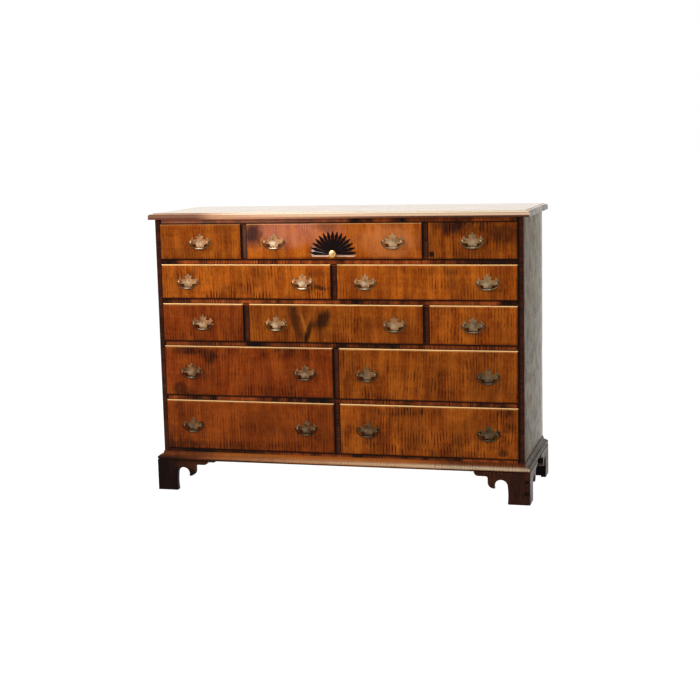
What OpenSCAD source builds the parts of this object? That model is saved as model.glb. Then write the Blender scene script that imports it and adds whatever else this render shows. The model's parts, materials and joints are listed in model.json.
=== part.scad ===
/* [Case] */
// Width of the case across the outer faces of its sides
case_w = 1600; // [1500:10:1800]
// Depth of the case from the face of its front frame to its back
case_d = 570; // [540:5:650]
// Thickness of the case sides
side_t = 22; // [18:1:26]
// Thickness of the back boards
back_t = 12; // [9:1:16]
// Number of upright back boards
back_count = 8; // [5:1:12]
// Gap left between back boards for the wood to move
back_gap = 0.8; // [0.5:0.1:0.9]
// Thickness of the bottom board
bottom_t = 18; // [14:1:22]

/* [Front frame] */
// Thickness of the front frame from front to back
frame_t = 22; // [20:1:28]
// Width of each stile at the front corners
stile_w = 30; // [28:1:40]
// Height of each rail between two rows of drawers
rail_h = 34.5; // [28:0.5:45]
// Height of the rail under the top
top_rail_h = 27; // [20:1:40]
// Height of the rail at the bottom of the case, part of it behind the moulding
bottom_rail_h = 45; // [40:1:60]
// Width of the upright dividers between drawers
divider_w = 39; // [30:1:50]

/* [Drawer fronts] */
// Height of the fronts in the top row
top_row_h = 150; // [145:1:180]
// Height of the fronts in the second row
second_row_h = 147; // [120:1:180]
// Height of the fronts in the third row
third_row_h = 163; // [120:1:200]
// Height of the fronts in the fourth row
fourth_row_h = 217; // [150:1:260]
// Height of the fronts in the bottom row
bottom_row_h = 216; // [150:1:260]
// Width of the small fronts beside the middle drawers
small_front_w = 368; // [300:2:400]
// How far each front laps over the frame on every side
lip_over = 6; // [4:0.5:8]
// How far the lipped fronts stand proud of the frame
lip_t = 8; // [7:0.5:10]
// Thickness of the part of each front behind the lip
front_body_t = 16; // [14:0.5:18]
// Radius of the rounded edge on the fronts
front_edge_r = 5.5; // [3:0.5:5.5]
// Small step between the rounded edge and the flat of a front
front_step = 1.2; // [0.6:0.1:1.4]

/* [Drawer boxes] */
// Length of the drawer boxes behind the face of the frame
drawer_d = 500; // [420:5:515]
// Thickness of the drawer sides
drawer_side_t = 12; // [10:1:15]
// Thickness of the drawer backs
drawer_back_t = 12; // [10:1:15]
// Thickness of the drawer bottoms
drawer_bottom_t = 8; // [6:0.5:10]
// Height of the groove for the bottom above the drawer's lower edge
groove_up = 8; // [6:0.5:12]
// Depth of the groove for the bottom
groove_d = 5; // [3:0.5:6]
// Length of the dovetails into the drawer fronts
tail_len = 11; // [8:0.5:12]
// Height of wood that one drawer dovetail takes, pin included
tail_pitch = 38; // [28:1:50]
// Height of a drawer dovetail pin at its narrow end
pin_h = 4; // [3:0.5:7]

/* [Runners] */
// Width of the drawer runners
runner_w = 60; // [40:2:80]
// Width of the rear rail of each web frame
rear_rail_w = 60; // [40:2:80]
// Height of the drawer guides
guide_h = 25; // [15:1:35]

/* [Top board] */
// Thickness of the top
top_t = 27; // [24:1:35]
// How far the top reaches past the case at each side
top_over_side = 26; // [20:1:40]
// How far the top reaches past the case at the front
top_over_front = 16; // [14:1:40]
// Width of the thumbnail moulding along the edge of the top
thumb_w = 18; // [12:1:20]
// Fall of the thumbnail moulding from its step to the edge
thumb_fall = 6; // [4:0.5:9]
// Step between the thumbnail moulding and the flat of the top
thumb_step = 2; // [1:0.5:3]

/* [Base] */
// Height of the feet, up to the base moulding
foot_h = 136; // [126:1:180]
// Height of the base moulding
mould_h = 35; // [33:1:45]
// How far the base moulding stands out from the case
mould_out = 25; // [24:0.5:32]
// Radius of the bead along the foot of the base moulding
bead_r = 8; // [6:0.5:8]
// Radius of the cove in the base moulding
cove_r = 13; // [10:0.5:13]
// Thickness of the base frame under the case
base_frame_t = 18; // [14:1:24]
// Width of the base frame's strips
base_frame_w = 60; // [45:1:90]
// How far the base frame shows below the moulding
base_drop = 6; // [2:0.5:10]

/* [Feet] */
// Width of each foot bracket from its corner to its end
foot_w = 236; // [234:1:300]
// Thickness of the foot brackets
bracket_t = 22; // [18:1:24]
// Width of a foot where it stands on the floor
pad_w = 93; // [80:1:94]
// Radius of the arch cut between a foot and its spur
arch_r = 28; // [24:0.5:28]
// Height of the arch's centre above the floor
arch_z = 76; // [72:1:78]
// Height of the spur's tip above the floor
spur_z = 66; // [58:1:70]
// Width of the spur's flat tip
spur_w = 21; // [14:1:24]
// Radius of the spur's outer corners
spur_round = 9; // [5:0.5:9]
// How far a foot's inner edge is drawn in above the floor
ankle_in = 2; // [0:0.5:4]
// Radius of the round at the end of a bracket
end_r = 19; // [12:1:20]
// Height of the pins that show on the front of a foot, at their narrow end
foot_pin_h = 11; // [8:1:16]
// Height of the lower pin above the floor
foot_pin_low = 48; // [35:1:55]
// Height of the upper pin above the floor
foot_pin_high = 98; // [85:1:105]
// Side of the square corner block inside each foot
block_w = 40; // [30:1:55]
// Width of the plain board at the back of each rear foot
rear_board_w = 110; // [80:1:150]

/* [Pulls] */
// Distance between the two posts of a pull
pull_bore = 76; // [70:1:84]
// Distance between the two pulls on a wide front
pull_spread = 517; // [440:1:560]
// Thickness of a pull's plate
plate_t = 1.6; // [1.2:0.1:2]
// How far the plate's top finial rises above the posts
plate_up = 35; // [33:1:40]
// How far the plate's lower point drops below the posts
plate_down = 33; // [31:1:40]
// How far the plate's wings reach out past the posts
wing_out = 12; // [11:0.5:14]
// Diameter of the posts where they pass through the front
shank_d = 5; // [4:0.5:6]
// Diameter of the ball head on each post
ball_d = 10; // [9:0.5:10.5]
// Distance from the plate's face to the centre of the ball heads
ball_out = 12; // [11:0.5:16]
// Diameter of the bail's pins
pin_d = 3; // [2.5:0.5:3.5]
// Sideways distance from a post to the bail's leg
ear_out = 8; // [7.8:0.1:9.5]
// Drop of the bail below its pins
bail_drop = 28; // [24:1:31]
// Thickness of the bail at its ends
bail_end_d = 3.8; // [3.4:0.2:4.4]
// Thickness of the bail at its middle
bail_mid_d = 6.4; // [5:0.2:8]
// Distance across the square nuts behind the fronts
nut_w = 11; // [9:1:13]
// Thickness of the nuts
nut_t = 3; // [2.5:0.5:4]

/* [Fan and knob] */
// Radius of the carved fan
fan_r = 98; // [85:1:103]
// Number of gouged rays
fan_rays = 15; // [11:2:19]
// Height of the fan's baseline above the lower edge of its front
fan_up = 17; // [14:1:20]
// Half the width of a ray at its widest
ray_r = 4.6; // [3:0.2:5.6]
// Depth of the rays
fan_deep = 4; // [2:0.5:6]
// Length of the pointed outer end of a ray
ray_point = 42; // [30:1:50]
// Radius of the plain boss left in the middle of the fan
boss_r = 12; // [11:0.5:14]
// Diameter of the knob
knob_d = 30; // [26:1:32]
// Height of the knob from the face of the front to its crown
knob_h = 34; // [32:1:40]
// Length of the knob's screw inside the front
knob_screw = 15; // [8:1:17]
// Height of the knob's centre above the fan's baseline
knob_up = 9; // [6:1:12]

/* [Fits] */
// Gap in glued joints and panel grooves
glue_gap = 0.1; // [0.05:0.05:0.2]
// Gap between a drawer box and the opening at each side
side_gap = 1; // [0.6:0.1:2]
// Gap above a drawer box
top_gap = 3; // [2:0.5:5]
// Gap under a drawer box, and behind its lips
run_gap = 0.3; // [0.2:0.1:0.5]
// Gap all round the bail's pins in their posts
pin_gap = 0.05; // [0.03:0.01:0.08]

/* [Hidden] */
$fn = 48;
tail_slope = 1 / 7;
lip_show = 2 * lip_over;
case_bottom = foot_h - base_drop + base_frame_t;
stile_show = stile_w - lip_over;
divider_show = divider_w - lip_show;
rail_show = rail_h - lip_show;
wide_front_w = (case_w - 2 * stile_show - divider_show) / 2;
center_front_w = case_w - 2 * (stile_show + small_front_w + divider_show);
front_left = -case_w / 2 + stile_show;

// Each row: its name, the height of its fronts, and whether it has three drawers
ROWS = [
    ["top", top_row_h, true],
    ["second", second_row_h, false],
    ["third", third_row_h, true],
    ["fourth", fourth_row_h, false],
    ["bottom", bottom_row_h, false]
];
LAST = len(ROWS) - 1;

// Lower edge of the fronts in a row
function front_z(i) = i == LAST
    ? case_bottom + bottom_rail_h - lip_over
    : front_z(i + 1) + ROWS[i + 1][1] + rail_show;
// Lower and upper edge of the opening behind a row of fronts
function opening_z(i) = front_z(i) + lip_over;
function opening_top(i) = front_z(i) + ROWS[i][1] - lip_over;
case_top = opening_top(0) + top_rail_h;

// Centres of the dividers in a row
small_divider_x = -front_left - small_front_w - divider_show / 2;
function divider_xs(i) = ROWS[i][2] ? [-small_divider_x, small_divider_x] : [0];

// Each drawer: its name, left edge, lower edge, width and height of its front, and whether it is small
DRAWERS = [
    for (i = [0 : LAST])
        for (d = ROWS[i][2]
            ? [["left", front_left, small_front_w, true],
               ["center", -center_front_w / 2, center_front_w, false],
               ["right", -front_left - small_front_w, small_front_w, true]]
            : [["left", front_left, wide_front_w, false],
               ["right", divider_show / 2, wide_front_w, false]])
            [str(ROWS[i][0], "_", d[0]), d[1], front_z(i), d[2], ROWS[i][1], d[3]]
];
FAN_DRAWER = "top_center";

// Centres of a drawer's pulls along X
function pull_xs(d) = d[5] ? [d[1] + d[3] / 2] : [for (s = [-1, 1]) d[1] + d[3] / 2 + s * pull_spread / 2];
function pull_z(d) = d[2] + d[4] / 2;

// Each bail: its name and centre
BAILS = [
    for (d = DRAWERS)
        for (k = [0 : len(pull_xs(d)) - 1])
            [d[5] ? d[0] : str(d[0], "_", k + 1), pull_xs(d)[k], pull_z(d)]
];

CASE_NODES = [
    "top_board", "left_side", "right_side", "bottom_board", "back_boards", "stiles", "front_rails",
    "dividers", "web_frames", "drawer_guides", "base_moulding", "base_frame",
    "front_left_foot", "front_right_foot", "rear_left_foot", "rear_right_foot"
];

front_reach = max(lip_t + run_gap + knob_h, mould_out);
origin_y = -(case_d - front_reach) / 2;
inner_w = case_w - 2 * side_t;
inner_back = case_d - back_t;
face_y = -lip_t - run_gap;
plate_y = face_y - plate_t;
pin_y = plate_y - ball_out;
maple = "#a4602c";
dark_maple = "#7a3d1c";
inside_wood = "#c59a63";
brass = "#b3894f";

// Points of an arc from angle a to angle b
function arc(x, y, r, a, b, n = 8) = [for (k = [0 : n]) let (t = a + (b - a) * k / n) [x + r * cos(t), y + r * sin(t)]];

// A box between two corners
module block(low, high) {
    translate(low) cube(high - low);
}

// An outline in Y and Z, drawn out along X from one place to another
module along_x(from, to) {
    translate([from, 0, 0]) rotate([90, 0, 90]) linear_extrude(to - from) children();
}

// An outline in X and Z, drawn out along Y from one place to another
module along_y(from, to) {
    translate([0, to, 0]) rotate([90, 0, 0]) linear_extrude(to - from) children();
}

// Section of the top across its moulded edges, from 0 to a width
module thumb_section(w) {
    edge_r = (pow(thumb_w, 2) + pow(thumb_fall, 2)) / (2 * thumb_fall);
    translate([thumb_w, 0]) square([w - 2 * thumb_w, top_t]);
    for (s = [0, 1])
        translate([s * w, 0]) mirror([s, 0]) intersection() {
            square([thumb_w, top_t - thumb_step]);
            translate([thumb_w, top_t - thumb_step - edge_r]) circle(edge_r, $fn = 96);
        }
}

// The top: moulded along the front and both ends, square at the back
module top_board() {
    w = case_w + 2 * top_over_side;
    d = case_d + top_over_front;
    color(maple) intersection() {
        along_y(-top_over_front, case_d) translate([-w / 2, case_top]) thumb_section(w);
        along_x(-w / 2, w / 2) translate([-top_over_front, case_top]) {
            thumb_section(d);
            translate([d - 2 * thumb_w, 0]) square([2 * thumb_w, top_t]);
        }
    }
}

module case_side(s) {
    x = s * case_w / 2;
    color(maple) block(
        [min(x, x - s * side_t), frame_t, case_bottom],
        [max(x, x - s * side_t), case_d, case_top]
    );
}

module left_side() case_side(-1);
module right_side() case_side(1);

module bottom_board() {
    color(inside_wood) block([-inner_w / 2, frame_t, case_bottom], [inner_w / 2, inner_back, case_bottom + bottom_t]);
}

module back_boards() {
    board_w = (inner_w - (back_count - 1) * back_gap) / back_count;
    color(inside_wood) for (k = [0 : back_count - 1])
        translate([-inner_w / 2 + k * (board_w + back_gap), inner_back, case_bottom])
            cube([board_w, back_t, case_top - case_bottom]);
}

module stiles() {
    color(dark_maple) for (s = [-1, 1])
        translate([s * (case_w - stile_w) / 2 - stile_w / 2, 0, case_bottom])
            cube([stile_w, frame_t, case_top - case_bottom]);
}

// A rail across the front between the stiles
module front_rail(low, high) {
    w = case_w - 2 * stile_w;
    block([-w / 2, 0, low], [w / 2, frame_t, high]);
}

module front_rails() {
    color(dark_maple) {
        front_rail(case_top - top_rail_h, case_top);
        for (i = [0 : LAST - 1]) front_rail(opening_z(i) - rail_h, opening_z(i));
        front_rail(case_bottom, opening_z(LAST));
    }
}

module dividers() {
    color(dark_maple) for (i = [0 : LAST], x = divider_xs(i))
        block([x - divider_w / 2, 0, opening_z(i)], [x + divider_w / 2, frame_t, opening_top(i)]);
}

// Side and centre runners between two heights, which end at a rear rail or at the back boards
module runners(low, high, xs, end) {
    for (s = [-1, 1]) {
        x = s * (inner_w - runner_w) / 2;
        block([x - runner_w / 2, frame_t, low], [x + runner_w / 2, end, high]);
    }
    for (x = xs) block([x - runner_w / 2, frame_t, low], [x + runner_w / 2, end, high]);
}

// Frames that carry the drawers, the runners on the bottom board and the kickers under the top
module web_frames() {
    color(inside_wood) {
        for (i = [0 : LAST - 1]) {
            same = ROWS[i][2] == ROWS[i + 1][2];
            xs = concat(divider_xs(i), same ? [] : divider_xs(i + 1));
            low = opening_z(i) - rail_h;
            runners(low, opening_z(i), xs, inner_back - rear_rail_w - glue_gap);
            block([-inner_w / 2, inner_back - rear_rail_w, low], [inner_w / 2, inner_back, opening_z(i)]);
        }
        runners(case_bottom + bottom_t, opening_z(LAST), divider_xs(LAST), inner_back);
        runners(opening_top(0), case_top, divider_xs(0), inner_back);
    }
}

module drawer_guides() {
    guide_t = stile_w - side_t;
    color(inside_wood) for (i = [0 : LAST]) translate([0, 0, opening_z(i)]) {
        for (s = [-1, 1])
            translate([s * (inner_w - guide_t) / 2 - guide_t / 2, frame_t, 0])
                cube([guide_t, inner_back - frame_t, guide_h]);
        for (x = divider_xs(i))
            translate([x - divider_w / 2, frame_t, 0]) cube([divider_w, inner_back - frame_t, guide_h]);
    }
}

// Section of the base moulding: distance out from the case, and height above its underside
module mould_section() {
    fillet = mould_out - bead_r - cove_r - 1;
    bead_top = 2 * bead_r + 3;
    square([fillet, mould_h]);
    difference() {
        square([fillet + cove_r, bead_top + cove_r]);
        translate([fillet + cove_r, bead_top + cove_r]) circle(cove_r);
    }
    square([mould_out - bead_r + 1, bead_top]);
    translate([mould_out - bead_r, bead_r + 1]) circle(bead_r);
    square([mould_out - bead_r / 2, 1.5]);
}

// Room left for a moulding once its end is cut at 45 degrees through a front corner
module mitre_side(s, gap) {
    reach = 2 * case_w;
    corner = [s * (case_w / 2 + gap), 0];
    linear_extrude(case_bottom + mould_h)
        translate(corner)
            polygon([[0, 0], [s * reach, -reach], [s * reach, reach], [0, reach]]);
}

// The moulding round the foot of the case, in three lengths mitred at the front corners
module base_moulding() {
    color(dark_maple) {
        difference() {
            along_x(-case_w / 2 - mould_out, case_w / 2 + mould_out)
                translate([0, foot_h]) mirror([1, 0]) mould_section();
            for (s = [-1, 1]) mitre_side(s, 0);
        }
        for (s = [-1, 1]) intersection() {
            along_y(-mould_out, case_d)
                translate([s * case_w / 2, foot_h]) mirror([s < 0 ? 1 : 0, 0]) mould_section();
            mitre_side(s, glue_gap);
        }
    }
}

// The frame under the case, which carries the moulding and the feet
module base_frame() {
    low = case_bottom - base_frame_t;
    color(inside_wood) {
        for (y = [0, case_d - base_frame_w])
            block([-case_w / 2, y, low], [case_w / 2, y + base_frame_w, case_bottom]);
        for (s = [-1, 1])
            translate([s * (case_w - base_frame_w) / 2 - base_frame_w / 2, base_frame_w + glue_gap, low])
                cube([base_frame_w, case_d - 2 * (base_frame_w + glue_gap), base_frame_t]);
    }
}

// Outline of a foot bracket: distance from its corner, and height above the floor
module bracket_outline() {
    arch_x = pad_w + arch_r;
    hook = asin((arch_z - spur_z) / arch_r);
    spur_x = arch_x + arch_r * cos(hook);
    outer_x = spur_x + spur_w + spur_round;
    step_z = foot_h - end_r;
    polygon(concat(
        [[0, 0], [pad_w - 3, 0], [pad_w, 3]],
        [for (k = [1 : 5]) [pad_w - ankle_in * sin(180 * k / 6), 3 + (arch_z - 3) * k / 6]],
        arc(arch_x, arch_z, arch_r, 180, -hook, 12),
        arc(spur_x + spur_w, spur_z + spur_round, spur_round, -90, 0, 5),
        arc(outer_x + spur_round, step_z - spur_round, spur_round, 180, 90, 5),
        arc(foot_w - end_r, foot_h, end_r, -90, 0, 6),
        [[0, foot_h]]
    ));
}

// The two pins of a side bracket that pass through the front bracket, seen from the front
module foot_pins(gap) {
    half = foot_pin_h / 2 + gap;
    flare = bracket_t * tail_slope;
    for (z = [foot_pin_low, foot_pin_high])
        polygon([
            [0, z - half], [bracket_t + gap, z - half - flare],
            [bracket_t + gap, z + half + flare], [0, z + half]
        ]);
}

// A front foot, drawn with its corner at the origin and its boards along +X and +Y
module front_foot() {
    color(dark_maple) {
        difference() {
            along_y(0, bracket_t) bracket_outline();
            along_y(-1, bracket_t + 1) foot_pins(glue_gap);
        }
        along_y(0, bracket_t + 1) foot_pins(0);
        intersection() {
            along_x(0, bracket_t) bracket_outline();
            block([-1, bracket_t + glue_gap, 0], [bracket_t + 1, foot_w, foot_h]);
        }
    }
    color(inside_wood) corner_block();
}

// A rear foot, drawn the same way with its corner at the back of the case
module rear_foot() {
    color(dark_maple) along_x(0, bracket_t) bracket_outline();
    color(inside_wood) {
        along_y(0, bracket_t) polygon([
            [bracket_t + glue_gap, 0], [pad_w, 0], [rear_board_w, case_bottom - base_frame_t],
            [bracket_t + glue_gap, case_bottom - base_frame_t]
        ]);
        corner_block();
    }
}

module corner_block() {
    near = bracket_t + glue_gap;
    block([near, near, 0], [near + block_w, near + block_w, case_bottom - base_frame_t]);
}

module at_front_corner(s) {
    translate([s * (case_w / 2 + mould_out), -mould_out, 0]) mirror([s > 0 ? 1 : 0, 0, 0]) children();
}

module at_rear_corner(s) {
    translate([s * (case_w / 2 + mould_out), case_d, 0]) mirror([s > 0 ? 1 : 0, 0, 0]) mirror([0, 1, 0]) children();
}

module front_left_foot() at_front_corner(-1) front_foot();
module front_right_foot() at_front_corner(1) front_foot();
module rear_left_foot() at_rear_corner(-1) rear_foot();
module rear_right_foot() at_rear_corner(1) rear_foot();

// Section of a front across its lips, from 0 to a width, raised from 0 to lip_t
module lip_section(w) {
    inset = front_edge_r + 1;
    shoulder = lip_t - front_step;
    translate([inset, 0]) square([w - 2 * inset, lip_t]);
    translate([front_edge_r, 0]) square([w - 2 * front_edge_r, shoulder]);
    square([w, shoulder - front_edge_r]);
    for (x = [front_edge_r, w - front_edge_r])
        intersection() {
            translate([x, shoulder - front_edge_r]) circle(front_edge_r);
            square([w, lip_t]);
        }
}

// Dovetails in a height, pointing to -X from 0; a socket is wider by a gap and may run on past them
module tails(h, length, gap, past = 0) {
    count = max(2, round(h / tail_pitch));
    pitch = h / count;
    wide = pitch / 2 - pin_h / 2;
    narrow = wide - length * tail_slope;
    more = max(gap, past);
    for (k = [0 : count - 1])
        translate([0, (k + 0.5) * pitch])
            polygon([
                [1, -narrow - gap], [1, narrow + gap],
                [-length - more, wide + gap + more * tail_slope],
                [-length - more, -wide - gap - more * tail_slope]
            ]);
}

// One drawer's wood, from the left edge and lower edge of its front
module drawer(d) {
    w = d[3];
    h = d[4];
    box_w = w - lip_show - 2 * side_gap;
    box_h = h - lip_show - top_gap - run_gap;
    panel_z = groove_up + drawer_bottom_t;
    back_h = box_h - panel_z - glue_gap;
    translate([d[1], 0, d[2]]) {
        color(maple) drawer_front(d, w, h, box_w, box_h);
        translate([lip_over + side_gap, 0, lip_over + run_gap]) color(inside_wood) {
            for (s = [0, 1])
                translate([s * box_w, 0, 0]) mirror([s, 0, 0]) drawer_side(box_h, back_h);
            drawer_back(box_w, box_h, back_h);
            block(
                [drawer_side_t - groove_d + glue_gap, front_body_t - groove_d + glue_gap, groove_up],
                [box_w - drawer_side_t + groove_d - glue_gap, drawer_d, panel_z]
            );
        }
    }
}

// The lipped front with sockets for the sides, a groove for the bottom and holes for the pulls
module drawer_front(d, w, h, box_w, box_h) {
    difference() {
        union() {
            translate([0, -run_gap, 0]) intersection() {
                linear_extrude(h) mirror([0, 1]) lip_section(w);
                along_x(0, w) rotate(90) lip_section(h);
            }
            translate([lip_over + side_gap, -run_gap, lip_over + run_gap])
                cube([box_w, front_body_t + run_gap, box_h]);
        }
        translate([lip_over + side_gap, 0, lip_over + run_gap]) {
            for (x = [-1, box_w - drawer_side_t - glue_gap])
                along_x(x, x + drawer_side_t + glue_gap + 1)
                    translate([front_body_t, 0]) tails(box_h, tail_len, glue_gap);
            block(
                [drawer_side_t - groove_d, front_body_t - groove_d, groove_up - glue_gap],
                [box_w - drawer_side_t + groove_d, front_body_t + 1, groove_up + drawer_bottom_t + glue_gap]
            );
        }
        for (x = pull_xs(d), s = [-1, 1])
            translate([x - d[1] + s * pull_bore / 2, front_body_t + 1, h / 2])
                rotate([90, 0, 0]) cylinder(d = shank_d + 2 * glue_gap, h = front_body_t + lip_t + run_gap + 2);
        if (d[0] == FAN_DRAWER) translate([w / 2, 0, fan_up]) {
            along_y(face_y - 1, face_y + fan_deep) fan_outline();
            translate([0, face_y + knob_screw + glue_gap, knob_up]) rotate([90, 0, 0])
                cylinder(d = shank_d + 2 * glue_gap, h = knob_screw + 2);
        }
    }
}

// Outline of the gouged rays that spread from the middle of the fan's baseline
module fan_outline() {
    spread = 180 / fan_rays;
    difference() {
        for (k = [0 : fan_rays - 1])
            rotate(spread * (k + 0.5))
                polygon([[0, 0], [fan_r - ray_point, -ray_r], [fan_r, 0], [fan_r - ray_point, ray_r]]);
        translate([0, knob_up]) circle(boss_r);
    }
}

// A drawer side with dovetails at both ends and a groove for the bottom
module drawer_side(box_h, back_h) {
    end_y = drawer_d - drawer_back_t;
    difference() {
        along_x(0, drawer_side_t) {
            translate([front_body_t, 0]) {
                translate([glue_gap, 0]) square([end_y - front_body_t - 2 * glue_gap, box_h]);
                tails(box_h, tail_len, 0);
            }
            translate([end_y - 1, 0]) square([drawer_back_t + 1, box_h - back_h]);
            translate([end_y, box_h - back_h]) mirror([1, 0]) tails(back_h, drawer_back_t, 0);
        }
        block(
            [drawer_side_t - groove_d, -1, groove_up - glue_gap],
            [drawer_side_t + 1, drawer_d + 1, groove_up + drawer_bottom_t + glue_gap]
        );
    }
}

// The back, dovetailed to the sides and standing on the bottom
module drawer_back(box_w, box_h, back_h) {
    end_y = drawer_d - drawer_back_t;
    difference() {
        block([0, end_y, box_h - back_h + glue_gap], [box_w, drawer_d, box_h]);
        for (x = [-1, box_w - drawer_side_t - glue_gap])
            along_x(x, x + drawer_side_t + glue_gap + 1)
                translate([end_y, box_h - back_h]) mirror([1, 0]) tails(back_h, drawer_back_t, glue_gap, 1);
    }
}

// Outline of a pull's plate about the middle of its posts
module plate_outline() {
    post = pull_bore / 2;
    circle(18);
    for (s = [-1, 1]) mirror([s < 0 ? 1 : 0, 0]) {
        polygon([[0, 12], [post, 9], [post, -8], [0, -14]]);
        translate([post, 2]) circle(wing_out - 2);
        translate([post + wing_out - 4.5, -7]) circle(4.5);
        polygon([[post - 9, 8], [post - 4, plate_up - 12], [post + 5, 9]]);
        translate([10.5, plate_up - 14]) circle(5.5);
        polygon([[0, 16], [13, 14], [14, plate_up - 15], [0, plate_up - 6]]);
        polygon([[0, -10], [20, -9], [11, -23], [0, -plate_down]]);
        translate([12, -17]) circle(6);
    }
    translate([0, plate_up - 5]) circle(5);
}

// A turned shape about an axis along -Y through x and z, from its half outline in radius and height
module turned(x, z) {
    translate([x, 0, z]) rotate([90, 0, 0]) rotate_extrude() children();
}

// A square nut behind a front, for the end of a post's screw
module nut(x, z) {
    translate([x, front_body_t, z]) difference() {
        translate([-nut_w / 2, 0, -nut_w / 2]) cube([nut_w, nut_t, nut_w]);
        rotate([-90, 0, 0]) translate([0, 0, -1]) cylinder(d = shank_d + 2 * glue_gap, h = nut_t + 2);
    }
}

// A post: shank, collar, neck and a ball head bored for the bail's pin
module post(x, z) {
    collar = [shank_d / 2 + 3, 1.6];
    foot = -plate_y + glue_gap;
    difference() {
        turned(x, z) {
            translate([0, -front_body_t - nut_t - 1]) square([shank_d / 2, front_body_t + nut_t + 1 + foot]);
            translate([0, foot]) square(collar);
            translate([0, foot]) square([shank_d / 2 + 0.4, -pin_y - foot]);
            intersection() {
                translate([0, -pin_y]) circle(d = ball_d);
                translate([0, -pin_y - ball_d]) square(2 * ball_d);
            }
        }
        translate([x - ball_d, pin_y, z]) rotate([0, 90, 0]) cylinder(d = pin_d + 2 * pin_gap, h = 2 * ball_d);
    }
}

// The fan's knob: a screw that ends inside the front, rose, neck and ball
module knob(x, z) {
    crown = -face_y + knob_h;
    turned(x, z) {
        translate([0, -face_y - knob_screw]) square([shank_d / 2, knob_screw + 1]);
        translate([0, -face_y]) square([boss_r - 3, 3]);
        translate([0, -face_y]) square([boss_r / 2, knob_h - knob_d / 2]);
        intersection() {
            translate([0, crown - knob_d / 2]) circle(d = knob_d);
            translate([0, crown - knob_d]) square(2 * knob_d);
        }
    }
}

// One drawer's pulls: plates, posts and nuts, and the knob on the drawer with the fan
module pulls(d) {
    color(brass) {
        for (x = pull_xs(d)) {
            along_y(plate_y, face_y) translate([x, pull_z(d)]) difference() {
                plate_outline();
                for (s = [-1, 1]) translate([s * pull_bore / 2, 0]) circle(d = shank_d + 2 * glue_gap);
            }
            for (s = [-1, 1]) {
                post(x + s * pull_bore / 2, pull_z(d));
                nut(x + s * pull_bore / 2, pull_z(d));
            }
        }
        if (d[0] == FAN_DRAWER) knob(d[1] + d[3] / 2, d[2] + fan_up + knob_up);
    }
}

// Centre line and radius of half a bail at an angle from its pin to its middle
function bail_x(a) = (pull_bore / 2 + ear_out) * cos(a);
function bail_z(a) = -bail_drop * sin(a);
function bail_r(a) = bail_end_d / 2 + (bail_mid_d - bail_end_d) / 2 * pow(sin(a), 4);

// The bail: a tapered half ellipse with a pin at each end
module bail(x, z) {
    rings = 20;
    sides = 8;
    points = [
        for (k = [0 : rings])
            let (
                a = 180 * k / rings,
                out = [bail_drop * cos(a), -(pull_bore / 2 + ear_out) * sin(a)],
                n = out / norm(out)
            )
            for (j = [0 : sides - 1])
                let (b = 360 * j / sides, r = bail_r(a))
                [bail_x(a) + r * cos(b) * n[0], r * sin(b), bail_z(a) + r * cos(b) * n[1]]
    ];
    skin = [
        for (k = [0 : rings - 1], j = [0 : sides - 1])
            let (m = (j + 1) % sides)
            for (t = [[k * sides + j, k * sides + m, (k + 1) * sides + m],
                      [k * sides + j, (k + 1) * sides + m, (k + 1) * sides + j]]) t
    ];
    ends = [
        [for (j = [sides - 1 : -1 : 0]) j],
        [for (j = [0 : sides - 1]) rings * sides + j]
    ];
    color(brass) translate([x, pin_y, z]) {
        polyhedron(points, concat(skin, ends));
        for (s = [-1, 1]) {
            translate([s * (pull_bore / 2 + ear_out), 0, 0]) sphere(d = bail_end_d + 1);
            translate([s * (pull_bore / 2 + ear_out / 2), 0, 0]) rotate([0, 90, 0])
                cylinder(d = pin_d, h = ear_out + 6, center = true);
        }
    }
}

translate([0, origin_y, 0]) {
    top_board();
    left_side();
    right_side();
    bottom_board();
    back_boards();
    stiles();
    front_rails();
    dividers();
    web_frames();
    drawer_guides();
    base_moulding();
    base_frame();
    front_left_foot();
    front_right_foot();
    rear_left_foot();
    rear_right_foot();
    for (d = DRAWERS) {
        drawer(d);
        pulls(d);
    }
    for (b = BAILS) bail(b[1], b[2]);
}
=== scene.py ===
"""Looks for a wide chest of twelve drawers in curled maple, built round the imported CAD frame."""

import json
import logging
import math
from collections.abc import Callable, Iterator
from contextlib import contextmanager
from dataclasses import dataclass, field, replace
from enum import Enum

import bpy
from mathutils import Matrix, Vector

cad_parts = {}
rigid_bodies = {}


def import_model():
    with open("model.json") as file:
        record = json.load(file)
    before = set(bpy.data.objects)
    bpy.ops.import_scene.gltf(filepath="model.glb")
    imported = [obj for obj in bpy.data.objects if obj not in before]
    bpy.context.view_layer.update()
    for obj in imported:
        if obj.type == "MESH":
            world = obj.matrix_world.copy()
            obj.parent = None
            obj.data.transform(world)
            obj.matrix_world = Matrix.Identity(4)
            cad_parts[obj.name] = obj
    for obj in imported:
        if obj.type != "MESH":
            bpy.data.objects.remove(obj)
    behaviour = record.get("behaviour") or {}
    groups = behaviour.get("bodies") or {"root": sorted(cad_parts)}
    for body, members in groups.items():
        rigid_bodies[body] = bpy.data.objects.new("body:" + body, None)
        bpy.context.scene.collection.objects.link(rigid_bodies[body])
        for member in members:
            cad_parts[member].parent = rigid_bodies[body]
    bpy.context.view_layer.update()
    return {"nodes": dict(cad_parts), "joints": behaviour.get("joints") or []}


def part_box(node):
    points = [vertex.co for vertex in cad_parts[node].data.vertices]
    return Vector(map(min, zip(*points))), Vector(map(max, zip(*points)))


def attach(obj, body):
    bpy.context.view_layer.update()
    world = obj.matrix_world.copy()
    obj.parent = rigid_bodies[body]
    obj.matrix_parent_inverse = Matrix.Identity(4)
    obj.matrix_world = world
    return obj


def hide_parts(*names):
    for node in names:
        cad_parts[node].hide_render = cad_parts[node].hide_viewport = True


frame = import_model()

log = logging.getLogger("chest")

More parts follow.
